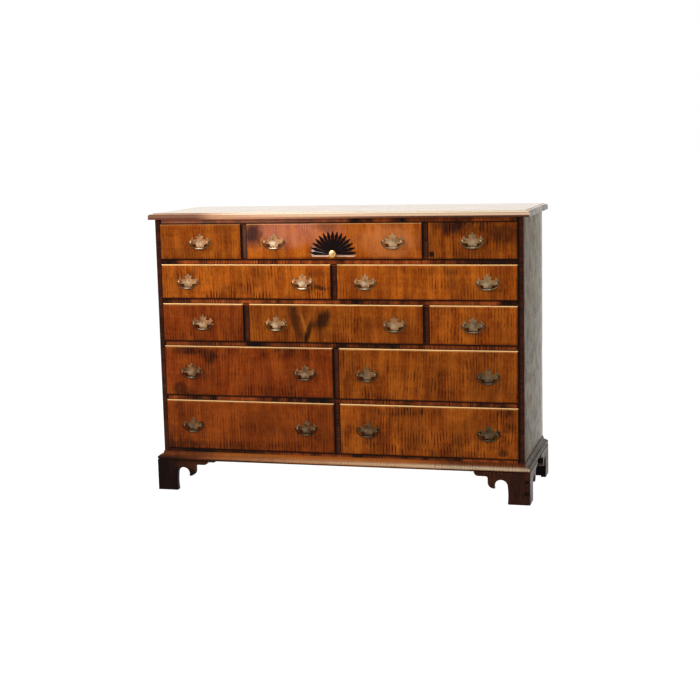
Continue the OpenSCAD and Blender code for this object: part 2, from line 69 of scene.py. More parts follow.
Colour = tuple[float, float, float, float]
Triple = tuple[float, float, float]
Screen = tuple[int, int, int]
Material = bpy.types.Material
Node = bpy.types.Node
Outputs = bpy.types.bpy_prop_collection
Piece = bpy.types.Object
Socket = bpy.types.NodeSocket
Tree = bpy.types.NodeTree

MM = 0.001
WELD = 0.00001
MAP_REACH = 0.1
FLAT_ANGLE = math.radians(0.4)
BEVEL_ANGLE = math.radians(32)
SMOOTH_ANGLE = math.radians(34)
DOWNWARDS = -0.9
WHITE = (1.0, 1.0, 1.0, 1.0)
NOWHERE = (0.0, 0.0, 0.0)
HALVES = (0.5, 0.5, 0.5)


def shade(red: int, green: int, blue: int) -> Colour:
    """Turns a colour as a screen shows it, 0 to 255, into linear light.

    Args:
        red: The red of the colour.
        green: The green of the colour.
        blue: The blue of the colour.

    Returns:
        The colour as four numbers, the last of them 1.
    """

    def linear(value: int) -> float:
        """One channel in linear light."""
        part = value / 255
        return part / 12.92 if part <= 0.04045 else ((part + 0.055) / 1.055) ** 2.4

    return (linear(red), linear(green), linear(blue), 1.0)


def stain(light: Screen, mid: Screen, dark: Screen) -> dict[str, Colour]:
    """The three colours of a finish, as its settings."""
    return {"light": shade(*light), "mid": shade(*mid), "dark": shade(*dark)}


class Way(Enum):
    """The way that the grain of a board runs, as the turn that lays it along X."""

    ACROSS = (0.0, 0.0, 0.0)
    UPRIGHT = (0.0, math.pi / 2, 0.0)
    DEEP = (0.0, 0.0, math.pi / 2)


# Writing node trees


class Bench:
    """A node tree that is being written."""

    def __init__(self, tree: Tree) -> None:
        """Takes the tree to write in."""
        self.tree = tree

    def add(self, kind: str, settings: dict | None = None, **inputs: object) -> Node:
        """Adds a shader node.

        Args:
            kind: The node's type, without the word ShaderNode.
            settings: Properties of the node.
            inputs: Values or sockets for the inputs, with _ for a space in a name.

        Returns:
            The new node.
        """
        made = self.tree.nodes.new("ShaderNode" + kind)
        for key, value in (settings or {}).items():
            setattr(made, key, value)
        for key, value in inputs.items():
            self.feed(made.inputs[key.replace("_", " ")], value)
        return made

    def feed(self, socket: Socket, value: object) -> None:
        """Links a socket to an input, or sets the input to a plain value."""
        if isinstance(value, Socket):
            self.tree.links.new(value, socket)
        else:
            socket.default_value = value

    def work(self, kind: str, operation: str, *values: object) -> Node:
        """Adds one step of arithmetic."""
        made = self.add(kind, {"operation": operation})
        for socket, value in zip(made.inputs, values):
            self.feed(socket, value)
        return made

    def sum(self, operation: str, *values: object) -> Socket:
        """One step of arithmetic on numbers."""
        return self.work("Math", operation, *values).outputs[0]

    def join(self, operation: str, *values: object) -> Socket:
        """One step of arithmetic on vectors."""
        return self.work("VectorMath", operation, *values).outputs[0]

    def times(self, first: object, *others: object) -> object:
        """The product of some numbers, in their order."""
        for other in others:
            first = self.sum("MULTIPLY", first, other)
        return first

    def less(self, first: object, second: object) -> Socket:
        """The first number less the second."""
        return self.sum("SUBTRACT", first, second)

    def length(self, vector: Socket) -> Socket:
        """How long a vector is."""
        return self.work("VectorMath", "LENGTH", vector).outputs["Value"]

    def vector(self, **parts: object) -> Socket:
        """A vector from its parts X, Y and Z, each nought where it isn't given."""
        return self.add("CombineXYZ", **parts).outputs[0]

    def split(self, vector: object) -> tuple[Socket, ...]:
        """The three parts of a vector."""
        return tuple(self.add("SeparateXYZ", Vector=vector).outputs)

    def scaled(self, vector: object, by: Triple) -> Socket:
        """A vector with each part multiplied."""
        return self.join("MULTIPLY", vector, by)

    def facing(self) -> tuple[Socket, ...]:
        """The three parts of the way that the surface looks."""
        return self.split(self.add("NewGeometry").outputs["Normal"])

    def step(self, value: object, low: float, high: object, start: float = 0.0, end: float = 1.0) -> Socket:
        """Turns a value smoothly from start, at low, to end, at high."""
        limits = {"From_Min": low, "From_Max": high, "To_Min": start, "To_Max": end}
        return self.add("MapRange", {"interpolation_type": "SMOOTHSTEP"}, Value=value, **limits).outputs[0]

    def noise(self, vector: object, scale: object, detail: float = 2.0, rough: float = 0.5) -> Node:
        """Adds a noise, whose first output is its value and whose second is its colour."""
        return self.add("TexNoise", Vector=vector, Scale=scale, Detail=detail, Roughness=rough)

    def stretched(
        self, vector: object, by: Triple, scale: float = 1.0, detail: float = 2.0, rough: float = 0.5
    ) -> Socket:
        """The value of a noise that is drawn out by a vector."""
        return self.noise(self.scaled(vector, by), scale, detail, rough).outputs[0]

    def blend(self, amount: object, first: object, second: object, how: str = "MIX") -> Socket:
        """Mixes two colours.

        Args:
            amount: How much of the second colour, 0 to 1.
            first: The colour at 0.
            second: The colour at 1.
            how: The way of mixing.

        Returns:
            The socket with the mixed colour.
        """
        made = self.add("Mix", {"data_type": "RGBA", "blend_type": how})
        for number, value in ((0, amount), (6, first), (7, second)):
            self.feed(made.inputs[number], value)
        return made.outputs[2]

    def use(self, group: Tree, **inputs: object) -> Outputs:
        """Places a node group and gives its outputs."""
        return self.add("Group", {"node_tree": group}, **inputs).outputs


class Group(Bench):
    """A node group that is being written, with named inputs and outputs."""

    def __init__(self, name: str, inputs: dict[str, object], outputs: list[str]) -> None:
        """Makes the group.

        Args:
            name: The group's name.
            inputs: The input names with their usual values, a number or three of them.
            outputs: The output names, all plain values.
        """
        super().__init__(bpy.data.node_groups.new(name, "ShaderNodeTree"))
        for key, value in inputs.items():
            kind = "NodeSocketVector" if isinstance(value, tuple) else "NodeSocketFloat"
            made = self.tree.interface.new_socket(key, in_out="INPUT", socket_type=kind)
            made.default_value = value
        for key in outputs:
            self.tree.interface.new_socket(key, in_out="OUTPUT", socket_type="NodeSocketFloat")
        self.given = self.tree.nodes.new("NodeGroupInput").outputs
        self.result = self.tree.nodes.new("NodeGroupOutput").inputs

    def give(self, **results: Socket) -> Tree:
        """Links the outputs and hands over the finished group."""
        for key, value in results.items():
            self.feed(self.result[key], value)
        return self.tree


def maple_figure() -> Tree:
    """The figure of curled maple with its grain along X.

    Returns:
        A group that gives the curl, the fine grain, its streaks, the clouds in the stain and a height.
    """
    usual = {"Vector": NOWHERE, "Seed": 0.0, "Spacing": 0.016, "Length": 0.09}
    made = Group("maple_figure", usual, ["Curl", "Grain", "Streak", "Cloud", "Height"])
    start, seed, spacing, length = (made.given[key] for key in usual)
    place = made.join("ADD", start, made.vector(X=made.times(seed, 3.7), Z=seed))
    wander = made.join("SUBTRACT", made.noise(place, 2.2, 1.0).outputs[1], HALVES)
    curved = made.join("ADD", place, made.scaled(wander, (0.03, 0.0, 0.0)))
    ripples, broadly, closely = (
        made.sum("DIVIDE", *pair) for pair in ((1.0, spacing), (0.5, length), (1.0, length))
    )
    close = made.join("MULTIPLY", curved, made.vector(X=ripples, Y=broadly, Z=closely))
    broad = made.step(made.stretched(close, (0.3, 1.0, 0.4)), 0.42, 0.66)
    jitter = made.stretched(place, (14.0, 6.0, 3.5))
    phase = made.sum("ADD", made.split(close)[0], made.times(jitter, 2.4))
    wave = made.sum("SINE", made.times(phase, 2 * math.pi))
    broken = made.noise(made.join("ADD", made.scaled(close, (0.45, 1.0, 1.0)), (7.3, 2.1, 5.9)), 1.0)
    gate = made.step(broken.outputs[0], 0.36, 0.62, 0.2, 1.0)
    narrow = made.times(made.step(wave, -0.5, 1.0), gate)
    patchy = made.step(made.stretched(place, (2.6, 1.0, 6.0), 2.0), 0.34, 0.62, 0.25, 1.0)
    both = made.sum("MAXIMUM", made.times(broad, 0.45), narrow)
    grain = made.stretched(curved, (2.5, 40.0, 60.0), 1.6, 3.0, 0.6)
    glow = made.stretched(curved, (30.0, 8.0, 5.0), rough=0.55)
    fleck = made.stretched(curved, (130.0, 40.0, 60.0), rough=0.6)
    shine = made.times(made.step(glow, 0.35, 0.65), 0.5)
    flecks = made.times(made.step(fleck, 0.35, 0.65), 0.3)
    streaks = made.times(made.step(grain, 0.25, 0.75), 0.2)
    rings = made.stretched(curved, (0.5, 9.0, 14.0), 1.6, 3.0, 0.55)
    cloud = made.stretched(place, (1.7, 1.0, 1.0), 4.5, 3.0, 0.6)
    return made.give(
        Curl=made.times(both, patchy),
        Grain=made.sum("ADD", made.sum("ADD", shine, flecks), streaks),
        Streak=made.step(rings, 0.35, 0.65),
        Cloud=made.step(cloud, 0.42, 0.68),
        Height=made.sum("ADD", grain, made.times(glow, 0.6)),
    )


def stain_patch() -> Tree:
    """A patch in the wood, with a ragged edge."""
    usual = {"Vector": NOWHERE, "Center": NOWHERE, "Reach": (0.1, 0.1, 0.1), "Ragged": 0.6, "Lean": 0.0}
    made = Group("stain_patch", usual, ["Mask"])
    place, center, reach, ragged, lean = (made.given[key] for key in usual)
    off = made.join("SUBTRACT", place, center)
    shift = made.vector(X=made.times(made.split(off)[2], lean))
    near = made.join("DIVIDE", made.join("ADD", off, shift), reach)
    rough = made.noise(made.scaled(place, (1.6, 1.0, 1.0)), 22.0, 3.0).outputs[1]
    torn = made.join("SUBTRACT", rough, HALVES)
    away = made.length(made.join("ADD", near, made.join("MULTIPLY", torn, made.vector(X=ragged, Z=ragged))))
    return made.give(Mask=made.step(away, 0.35, 1.05, 1.0, 0.0))


def edge_rub() -> Tree:
    """How low a place is on a front, and whether it looks up, or down or to the right: the masks of a
    front's painted highlight and painted shade.
    """
    usual = {"Vector": NOWHERE, "Center": NOWHERE, "Half": (1.0, 1.0, 1.0)}
    made = Group("edge_rub", usual, ["Low", "Up", "Under"])
    place, center, half = (made.given[key] for key in usual)
    height = made.split(made.join("DIVIDE", made.join("SUBTRACT", place, center), half))[2]
    right, _, up = made.facing()
    return made.give(
        Low=made.step(height, -1.0, 0.7, 1.0, 0.0),
        # Up masks the painted highlight on a front's upper edges; Under masks the painted shade on its faces
        # that look down or to the right.
        Up=made.step(up, 0.1, 0.6),
        Under=made.step(made.sum("MAXIMUM", made.times(up, -1.0), right), 0.25, 0.8),
    )


def settled_dust() -> Tree:
    """A soft uneven film, for varnish, dust and the dark specks on brass."""
    made = Group("settled_dust", {"Vector": NOWHERE, "Scale": 20.0}, ["Film", "Specks"])
    place, scale = made.given["Vector"], made.given["Scale"]
    film = made.noise(place, scale, 4.0, 0.6).outputs[0]
    specks = made.noise(place, made.times(scale, 9.0)).outputs[0]
    return made.give(Film=made.step(film, 0.35, 0.7), Specks=made.step(specks, 0.52, 0.7))


class Effects:
    """The node groups that several finishes share."""

    figure = maple_figure()
    patch = stain_patch()
    rub = edge_rub()
    dust = settled_dust()


class Surface(Bench):
    """A material that is being painted, with the place on the piece and the way that it looks there."""

    def __init__(self, name: str) -> None:
        """Starts the material."""
        self.material = bpy.data.materials.new(name)
        self.material.use_nodes = True
        super().__init__(self.material.node_tree)
        self.shader = self.tree.nodes["Principled BSDF"].inputs
        self.place = self.add("TexCoord").outputs["Object"]
        self.x, self.y, self.z = self.split(self.place)
        self.right, back, self.up = self.facing()
        self.ahead = self.times(back, -1.0)
        self.colour: object = WHITE

    def lay(self, over: object, *shares: object) -> None:
        """Lays a colour over the colour so far, by the product of the shares."""
        self.colour = self.blend(self.times(*shares), self.colour, over)

    def tint(self, tone: object) -> None:
        """Multiplies the colour so far."""
        self.colour = self.blend(1.0, self.colour, tone, "MULTIPLY")

    def finish(self, look: "Maple | Brass", film: Socket, height: Socket) -> Material:
        """Gives the shader its colour, its roughness and its bump.

        Args:
            look: The finish, which says how rough and how uneven it is.
            film: The film that makes the surface rougher.
            height: The height for the bump.

        Returns:
            The material.
        """
        strength, distance = look.bump
        uneven = self.add("Bump", Height=height, Strength=strength, Distance=distance).outputs[0]
        rough = self.step(film, 0.0, 1.0, look.rough - look.smoother, look.rough + look.rougher)
        for key, value in (("Base Color", self.colour), ("Roughness", rough), ("Normal", uneven)):
            self.feed(self.shader[key], value)
        return self.material


# Finishes


@dataclass(frozen=True)
class Patch:
    """A patch of another colour in a board: its middle and its reach from there, in metres."""

    x: float
    z: float
    wide: float
    tall: float
    depth: float = 0.7
    ragged: float = 0.9
    lean: float = 0.0
    stripes: float = 0.55
    colour: Colour = shade(22, 9, 4)


@dataclass(frozen=True)
class ShadowLine:
    """A painted shadow line beside the edge of a drawer front, at a level or at a place along X."""

    at: float
    wide: float
    level: bool = False
    darkness: float = 0.92


def round_fronts(edges: tuple[float, ...], thin: float = 0.0065, broad: float = 0.013) -> tuple[ShadowLine, ...]:
    """The upright painted shadow lines by the fronts' ends, which come in pairs: a right end, with a broad
    shadow, then a left end, with a thin one.
    """
    return tuple(ShadowLine(edge, broad if number % 2 == 0 else thin) for number, edge in enumerate(edges))


@dataclass(frozen=True)
class Maple:
    """Curled maple, stained and varnished."""

    name: str
    light: Colour = shade(206, 110, 28)
    mid: Colour = shade(146, 60, 3)
    dark: Colour = shade(70, 22, 2)
    deep: Colour = shade(22, 9, 4)
    # The colour of the painted highlight on a front's upper edges and on the top's flat.
    edge: Colour = shade(244, 196, 128)
    tone: float = 1.0
    way: Way = Way.ACROSS
    seed: float = 0.0
    spacing: float = 0.013
    length: float = 0.045
    curl: float = 0.8
    clouds: float = 0.38
    low: float = 0.3
    lit: float = 0.0
    # How strongly painted shade darkens a front's faces that look down or to the right.
    under_shade: float = 0.8
    rough: float = 0.42
    smoother: float = 0.05
    rougher: float = 0.1
    bump: tuple[float, float] = (0.12, 0.0006)
    coat: float = 0.02
    coat_rough: float = 0.22
    gleam: float = 0.04
    dust_scale: float = 16.0
    box: tuple[Vector, Vector] | None = None
    patches: tuple[Patch, ...] = ()
    shadow_lines: tuple[ShadowLine, ...] = ()

    def wood(self, bench: Surface, figure: Outputs) -> None:
        """Paints the wood, with the painted shadow lines by the fronts and, on a front, its painted
        highlight and painted shade.

        Args:
            bench: The material that is being painted.
            figure: The outputs of the figure group.
        """
        bench.colour = bench.blend(figure["Grain"], self.mid, self.light)
        bench.lay(self.dark, figure["Cloud"], self.clouds)
        curl = bench.times(figure["Curl"], self.curl)
        if self.box:
            low, high = self.box
            middle, half = (low + high) / 2, (high - low) / 2
            rub = bench.use(Effects.rub, Vector=bench.place, Center=tuple(middle), Half=tuple(half))
            curl = bench.times(curl, bench.sum("MULTIPLY_ADD", rub["Low"], self.low, 1.0 - self.low * 0.6))
        bench.lay(self.dark, curl)
        for patch in self.patches:
            mask = bench.use(
                Effects.patch,
                Vector=bench.place,
                Center=(patch.x, 0.0, patch.z),
                Reach=(patch.wide, 100.0, patch.tall),
                Ragged=patch.ragged,
                Lean=patch.lean,
            )
            striped = bench.sum("MULTIPLY_ADD", figure["Curl"], patch.stripes * 1.3, 1.0 - patch.stripes)
            bench.lay(patch.colour, mask["Mask"], striped, patch.depth)
        # Painted shadow lines along the edges of the drawer fronts.
        for shadow_line in self.shadow_lines:
            off = bench.sum("ABSOLUTE", bench.less(bench.z if shadow_line.level else bench.x, shadow_line.at))
            bench.lay(self.deep, bench.step(off, shadow_line.wide * 0.3, shadow_line.wide, shadow_line.darkness, 0.0))
        bench.tint((self.tone, self.tone, self.tone, 1.0))
        # On a front: a painted highlight on the faces that look up, and painted shade on the faces that look
        # down or to the right.
        if self.box:
            bench.lay(self.edge, rub["Up"], self.lit)
            bench.lay(self.deep, rub["Under"], self.under_shade)

    def build(self) -> Material:
        """Builds the material."""
        bench = Surface(self.name)
        laid = bench.add("Mapping", Vector=bench.place, Rotation=self.way.value).outputs[0]
        figure = bench.use(
            Effects.figure, Vector=laid, Seed=self.seed, Spacing=self.spacing, Length=self.length
        )
        dust = bench.use(Effects.dust, Vector=bench.place, Scale=self.dust_scale)
        self.wood(bench, figure)
        bench.shader["Specular IOR Level"].default_value = self.gleam
        bench.shader["Coat Roughness"].default_value = self.coat_rough
        bench.feed(bench.shader["Coat Weight"], self.varnish(bench))
        return bench.finish(self, dust["Film"], figure["Height"])

    def varnish(self, bench: Surface) -> object:
        """How much varnish lies on the wood."""
        return self.coat


@dataclass(frozen=True)
class TopMaple(Maple):
    """The maple of the top board: polished and painted paler where it is flat, with painted sheen, highlight
    and shade on its moulded edge.
    """

    flat_glare: float = 0.1
    edge_coat: float = 0.05
    line: float = 1.1985
    over: float = 1.2085
    rubbed: Colour = shade(222, 186, 152)
    white: Colour = shade(228, 218, 192)
    moulded: Colour = shade(88, 42, 22)
    fascia_sheen: Colour = shade(182, 124, 102)
    end_reflection: Colour = shade(92, 76, 56)

    def flat(self, bench: Surface) -> Socket:
        """One on the flat of the top, nought on its moulded edge."""
        return bench.step(bench.up, 0.93, 0.985)

    def wood(self, bench: Surface, figure: Outputs) -> None:
        """Paints the wood, painted paler on the flat of the top, with painted light and shade on its edge.
        """
        super().wood(bench, figure)
        flat = self.flat(bench)
        upright = bench.less(1.0, flat)
        # A painted pink sheen on the moulded edge, then painted shade towards both of its ends.
        bench.lay(self.fascia_sheen, upright, 0.75)
        right_end = bench.step(bench.x, -0.4, 0.35, 0.0, 0.9)
        left_end = bench.step(bench.x, -0.62, -0.5, 0.95, 0.0)
        bench.lay(self.moulded, bench.sum("MAXIMUM", right_end, left_end), upright)
        # Painted shadow along the lower part of the front edge, on its right half.
        front = bench.times(bench.step(bench.ahead, 0.02, 0.2), upright)
        under = bench.step(bench.z, self.line - 0.002, self.line, 0.65, 0.0)
        bench.lay(self.deep, under, front, bench.step(bench.x, 0.0, 0.6))
        # A painted highlight along the thumbnail of the front edge, and a painted sheen above it.
        lined = bench.step(bench.z, self.line, self.line + 0.002, 0.0, 0.9)
        below = bench.step(bench.z, self.over, self.over + 0.001, 1.0, 0.15)
        bench.lay(self.rubbed, lined, front, below, bench.step(bench.x, -0.6, 0.0, 0.12, 1.0))
        upper = bench.step(bench.z, self.over + 0.0015, self.over + 0.003, 0.0, 0.85)
        bench.lay(self.white, upper, front, bench.step(bench.x, -0.62, -0.35))
        # A painted reflection on the ends, and the flat painted paler as a painted glare.
        end = bench.step(bench.sum("ABSOLUTE", bench.right), 0.1, 0.3, 0.0, 0.95)
        bench.lay(self.end_reflection, end, upright)
        bench.lay(self.edge, flat, self.flat_glare)

    def varnish(self, bench: Surface) -> object:
        """How much varnish lies on the wood: on the flat of the top much more than on its edge."""
        return bench.step(self.flat(bench), 0.0, 1.0, self.edge_coat, self.coat)


@dataclass(frozen=True)
class SideMaple(Maple):
    """The maple of the case's sides, painted paler towards the back as a painted sheen, and polished towards
    the back.
    """

    back_glare: Colour = shade(146, 118, 80)
    much: float = 0.3

    def wood(self, bench: Surface, figure: Outputs) -> None:
        """Paints the wood, paler towards the back as a painted sheen."""
        super().wood(bench, figure)
        bench.lay(self.back_glare, bench.step(bench.y, 0.05, 0.36, 0.0, self.much))

    def varnish(self, bench: Surface) -> object:
        """How much varnish lies on the wood: the more, the nearer to the back."""
        much = bench.step(bench.y, -0.26, 0.27, self.coat * 0.2, self.coat * 1.9)
        return bench.sum("ADD", much, bench.step(bench.y, 0.22, 0.29, 0.0, self.coat * 3.5))


@dataclass(frozen=True)
class PlainWood(Maple):
    """The plain wood of the boards that don't show: long streaks along the grain, and nail heads."""

    light: Colour = shade(206, 166, 112)
    mid: Colour = shade(176, 132, 82)
    dark: Colour = shade(138, 96, 54)
    rough: float = 0.62
    coat: float = 0.0
    nail: Colour = shade(50, 40, 34)
    nail_rows: tuple[float, ...] = ()
    nail_pitch: float = 0.1
    nail_wide: float = 0.0035

    def wood(self, bench: Surface, figure: Outputs) -> None:
        """Paints the streaks and, where there are any, the nails."""
        bench.colour = bench.blend(figure["Streak"], self.mid, self.light)
        bench.lay(self.dark, figure["Grain"], 0.25)
        bench.lay(self.dark, figure["Cloud"], self.clouds)
        turn = bench.sum("FRACT", bench.sum("DIVIDE", bench.x, self.nail_pitch))
        across = bench.times(bench.less(turn, 0.5), self.nail_pitch)
        for row in self.nail_rows:
            away = bench.length(bench.vector(X=across, Z=bench.less(bench.z, row)))
            bench.lay(self.dark, bench.step(away, self.nail_wide, self.nail_wide * 4, 0.35, 0.0))
            bench.lay(self.nail, bench.step(away, self.nail_wide * 0.8, self.nail_wide * 1.1, 0.9, 0.0))


@dataclass(frozen=True)
class Brass:
    """Old brass: bright where hands polish it, dull where they don't, and darker lower down the chest as
    painted shade.
    """

    name: str
    bright: Colour = shade(204, 148, 100)
    dull: Colour = shade(112, 76, 48)
    # The colour of the dark specks, and of the painted shade on a plate's rim.
    tarnish_and_shade: Colour = shade(34, 24, 14)
    green: Colour = shade(96, 92, 68)
    greened: float = 0.6
    shaded: float = 0.3
    scale: float = 45.0
    much: float = 0.3
    rough: float = 0.3
    smoother: float = 0.08
    rougher: float = 0.14
    bump: tuple[float, float] = (0.5, 0.0015)

    def build(self) -> Material:
        """Builds the material."""
        bench = Surface(self.name)
        dust = bench.use(Effects.dust, Vector=bench.place, Scale=self.scale)
        self.metal(bench, dust)
        # Painted shade: the lower down the chest, the darker the brass, down to the share in shaded.
        high = bench.step(bench.z, 0.35, 1.05, self.shaded, 1.0)
        bench.tint(bench.vector(X=high, Y=high, Z=high))
        bench.shader["Metallic"].default_value = 1.0
        return bench.finish(self, dust["Film"], dust["Film"])

    def metal(self, bench: Surface, dust: Outputs) -> None:
        """Paints the metal, greener towards the right of the chest.

        Args:
            bench: The material that is being painted.
            dust: The outputs of the dust group.
        """
        bench.colour = bench.blend(dust["Film"], self.bright, self.dull)
        bench.lay(self.tarnish_and_shade, dust["Specks"], self.much)
        bench.lay(self.green, self.greenness(bench))

    def greenness(self, bench: Surface) -> Socket:
        """How green the metal is: the more, the further to the right of the chest."""
        return bench.step(bench.x, -0.3, 0.75, 0.0, self.greened)


@dataclass(frozen=True)
class PlateBrass(Brass):
    """The brass of a pull: a painted cream highlight on its body, strongest near the glare spot high on the
    chest, and painted shade where it turns away from the front.
    """

    rubbed: Colour = shade(255, 230, 194)
    rub: float = 0.85
    spot: Triple = (0.44, 0.43, 0.0)
    spread: Triple = (0.2, 0.14, 1.0)
    glare: Triple = (-0.2, 0.0, 1.04)

    def metal(self, bench: Surface, dust: Outputs) -> None:
        """Paints the metal, following the plate's own map, with its painted highlight and painted shade."""
        super().metal(bench, dust)
        drawn = bench.add("UVMap", {"uv_map": "plate"}).outputs[0]
        # A painted highlight round the spot on the plate's own map, fading away from the glare spot.
        off = bench.join("DIVIDE", bench.join("SUBTRACT", drawn, self.spot), self.spread)
        body = bench.step(bench.length(off), 0.2, 1.1, self.rub, 0.0)
        uneven = bench.step(dust["Film"], 0.0, 1.0, 1.0, 0.5)
        away = bench.length(bench.scaled(bench.join("SUBTRACT", bench.place, self.glare), (1.0, 0.0, 1.0)))
        lit = bench.times(uneven, bench.step(away, 0.16, 0.5, 1.0, 0.45))
        bench.lay(bench.blend(self.greenness(bench), self.rubbed, self.green), body, lit)
        # Painted shade on the faces that turn away from the front.
        bench.lay(self.tarnish_and_shade, bench.step(bench.ahead, 0.55, 0.97, 0.8, 0.0))


# Work on meshes


def choose(*pieces: Piece) -> None:
    """Selects these pieces and nothing else, and makes the last one active."""
    for other in bpy.context.selected_objects:
        other.select_set(False)
    for piece in pieces:
        piece.select_set(True)
        bpy.context.view_layer.objects.active = piece


@contextmanager
def editing(
    piece: Piece, faces: Callable[[Vector, Vector], bool] | None = None, points: list[bool] | None = None
) -> Iterator[None]:
    """Edit mode on one piece, with its picked faces or its picked points selected.

    Args:
        piece: The piece to edit.
        faces: Takes a face's middle and its normal, and says whether it is picked.
        points: Whether each point is picked.

    Yields:
        Nothing. Edit mode lasts as long as the block.
    """
    choose(piece)
    mesh = piece.data
    bpy.context.tool_settings.mesh_select_mode = (bool(points), False, not points)
    if faces or points:
        for parts in (mesh.vertices, mesh.edges, mesh.polygons):
            parts.foreach_set("select", [False] * len(parts))
    if faces:
        found = [faces(face.center, face.normal) for face in mesh.polygons]
        mesh.polygons.foreach_set("select", found)
    if points:
        mesh.vertices.foreach_set("select", points)
    bpy.ops.object.mode_set(mode="EDIT")
    yield
    bpy.ops.object.mode_set(mode="OBJECT")


def take_all() -> None:
    """Selects the whole mesh, in edit mode."""
    bpy.ops.mesh.select_all(action="SELECT")


def draw_on(by: Vector | Triple) -> None:
    """Extrudes what is selected, in edit mode."""
    bpy.ops.mesh.extrude_region_move(TRANSFORM_OT_translate={"value": by})


def resize(share: Triple, around: Vector | Triple) -> None:
    """Scales what is selected, in edit mode."""
    bpy.ops.transform.resize(value=share, center_override=around)


def looks_down(middle: Vector, normal: Vector) -> bool:
    """Whether a face looks down."""
    return normal.z < DOWNWARDS


def settled(scale: Triple = (1.0, 1.0, 1.0)) -> Piece:
    """The piece that was just made, scaled, with its place written into its mesh."""
    made = bpy.context.active_object
    made.scale = scale
    choose(made)
    bpy.ops.object.transform_apply(location=True, rotation=True, scale=True)
    return made


def placed(name: str, data: bpy.types.ID) -> Piece:
    """A new object in the scene."""
    made = bpy.data.objects.new(name, data)
    bpy.context.scene.collection.objects.link(made)
    return made


def finish_with(piece: Piece, kind: str, **settings: object) -> None:
    """Adds a modifier, sets it and applies it."""
    choose(piece)
    made = piece.modifiers.new(kind.lower(), kind)
    for key, value in settings.items():
        setattr(made, key, value)
    bpy.ops.object.modifier_apply(modifier=made.name)


def soften(piece: Piece, width: float, segments: int = 2) -> None:
    """Rounds the sharp edges of a piece and smooths what is round.

    Args:
        piece: The piece to work on.
        width: How wide the rounding is, in metres.
        segments: How many faces it has.
    """
    if width:
        finish_with(
            piece,
            "BEVEL",
            width=width,
            segments=segments,
            limit_method="ANGLE",
            angle_limit=BEVEL_ANGLE,
            use_clamp_overlap=True,
        )
    choose(piece)
    bpy.ops.object.shade_smooth_by_angle(angle=SMOOTH_ANGLE)
    finish_with(piece, "WEIGHTED_NORMAL", mode="FACE_AREA", weight=90, keep_sharp=True)


def dress(piece: Piece, name: str, material: Material, body: str, node: str) -> None:
    """Names a finished piece, gives it its material and lets it stand for its CAD node.

    Args:
        piece: The finished piece.
        name: Its name.
        material: Its material.
        body: The CAD body that carries it.
        node: The CAD node that it stands for.
    """
    piece.name = name
    piece.data.name = name
    piece.data.materials.clear()
    piece.data.materials.append(material)
    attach(piece, body)
    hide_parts(node)
    log.info("%s: %d faces, rides on %s", name, len(piece.data.polygons), body)


def copy_of(piece: Piece, by: Vector) -> Piece:
    """A copy of a piece with a mesh of its own, moved in its mesh."""
    made = placed(piece.name, piece.data.copy())
    made.data.transform(Matrix.Translation(by))
    return made


def draw_map(piece: Piece, middle: Vector) -> None:
    """Lays a pull's own map on a piece, seen from the front.

    Args:
        piece: The piece of the pull.
        middle: The place midway between the bail's ends, which is the middle of the map.
    """
    drawn = piece.data.uv_layers.new(name="plate")
    for loop in piece.data.loops:
        off = (piece.data.vertices[loop.vertex_index].co - middle) / MAP_REACH
        drawn.data[loop.index].uv = (off.x + 0.5, off.z + 0.5)


def box_of(piece: Piece) -> tuple[Vector, Vector]:
    """The lowest and the highest corner of a piece's box."""
    return Vector(piece.bound_box[0]), Vector(piece.bound_box[6])


def middle_of(piece: Piece) -> Vector:
    """The middle of a piece's box."""
    low, high = box_of(piece)
    return (low + high) / 2


def size_of(piece: Piece) -> Vector:
    """The size of a piece's box."""
    low, high = box_of(piece)
    return high - low


def lift(node: str) -> list[Piece]:
    """Copies a CAD node, welds the copy and parts it into its boards.

    Args:
        node: The CAD node's name.

    Returns:
        The boards, from left to right, then upwards, then back.
    """
    whole = placed(node + "_copy", frame["nodes"][node].data.copy())
    before = set(bpy.data.objects)
    with editing(whole):
        take_all()
        bpy.ops.mesh.remove_doubles(threshold=WELD)
        bpy.ops.mesh.customdata_custom_splitnormals_clear()
        bpy.ops.mesh.dissolve_limited(angle_limit=FLAT_ANGLE)
        bpy.ops.mesh.separate(type="LOOSE")
    boards = [whole, *(set(bpy.data.objects) - before)]
    bpy.context.view_layer.update()
    return sorted(boards, key=lambda board: tuple(round(part, 3) for part in middle_of(board)))


# The case


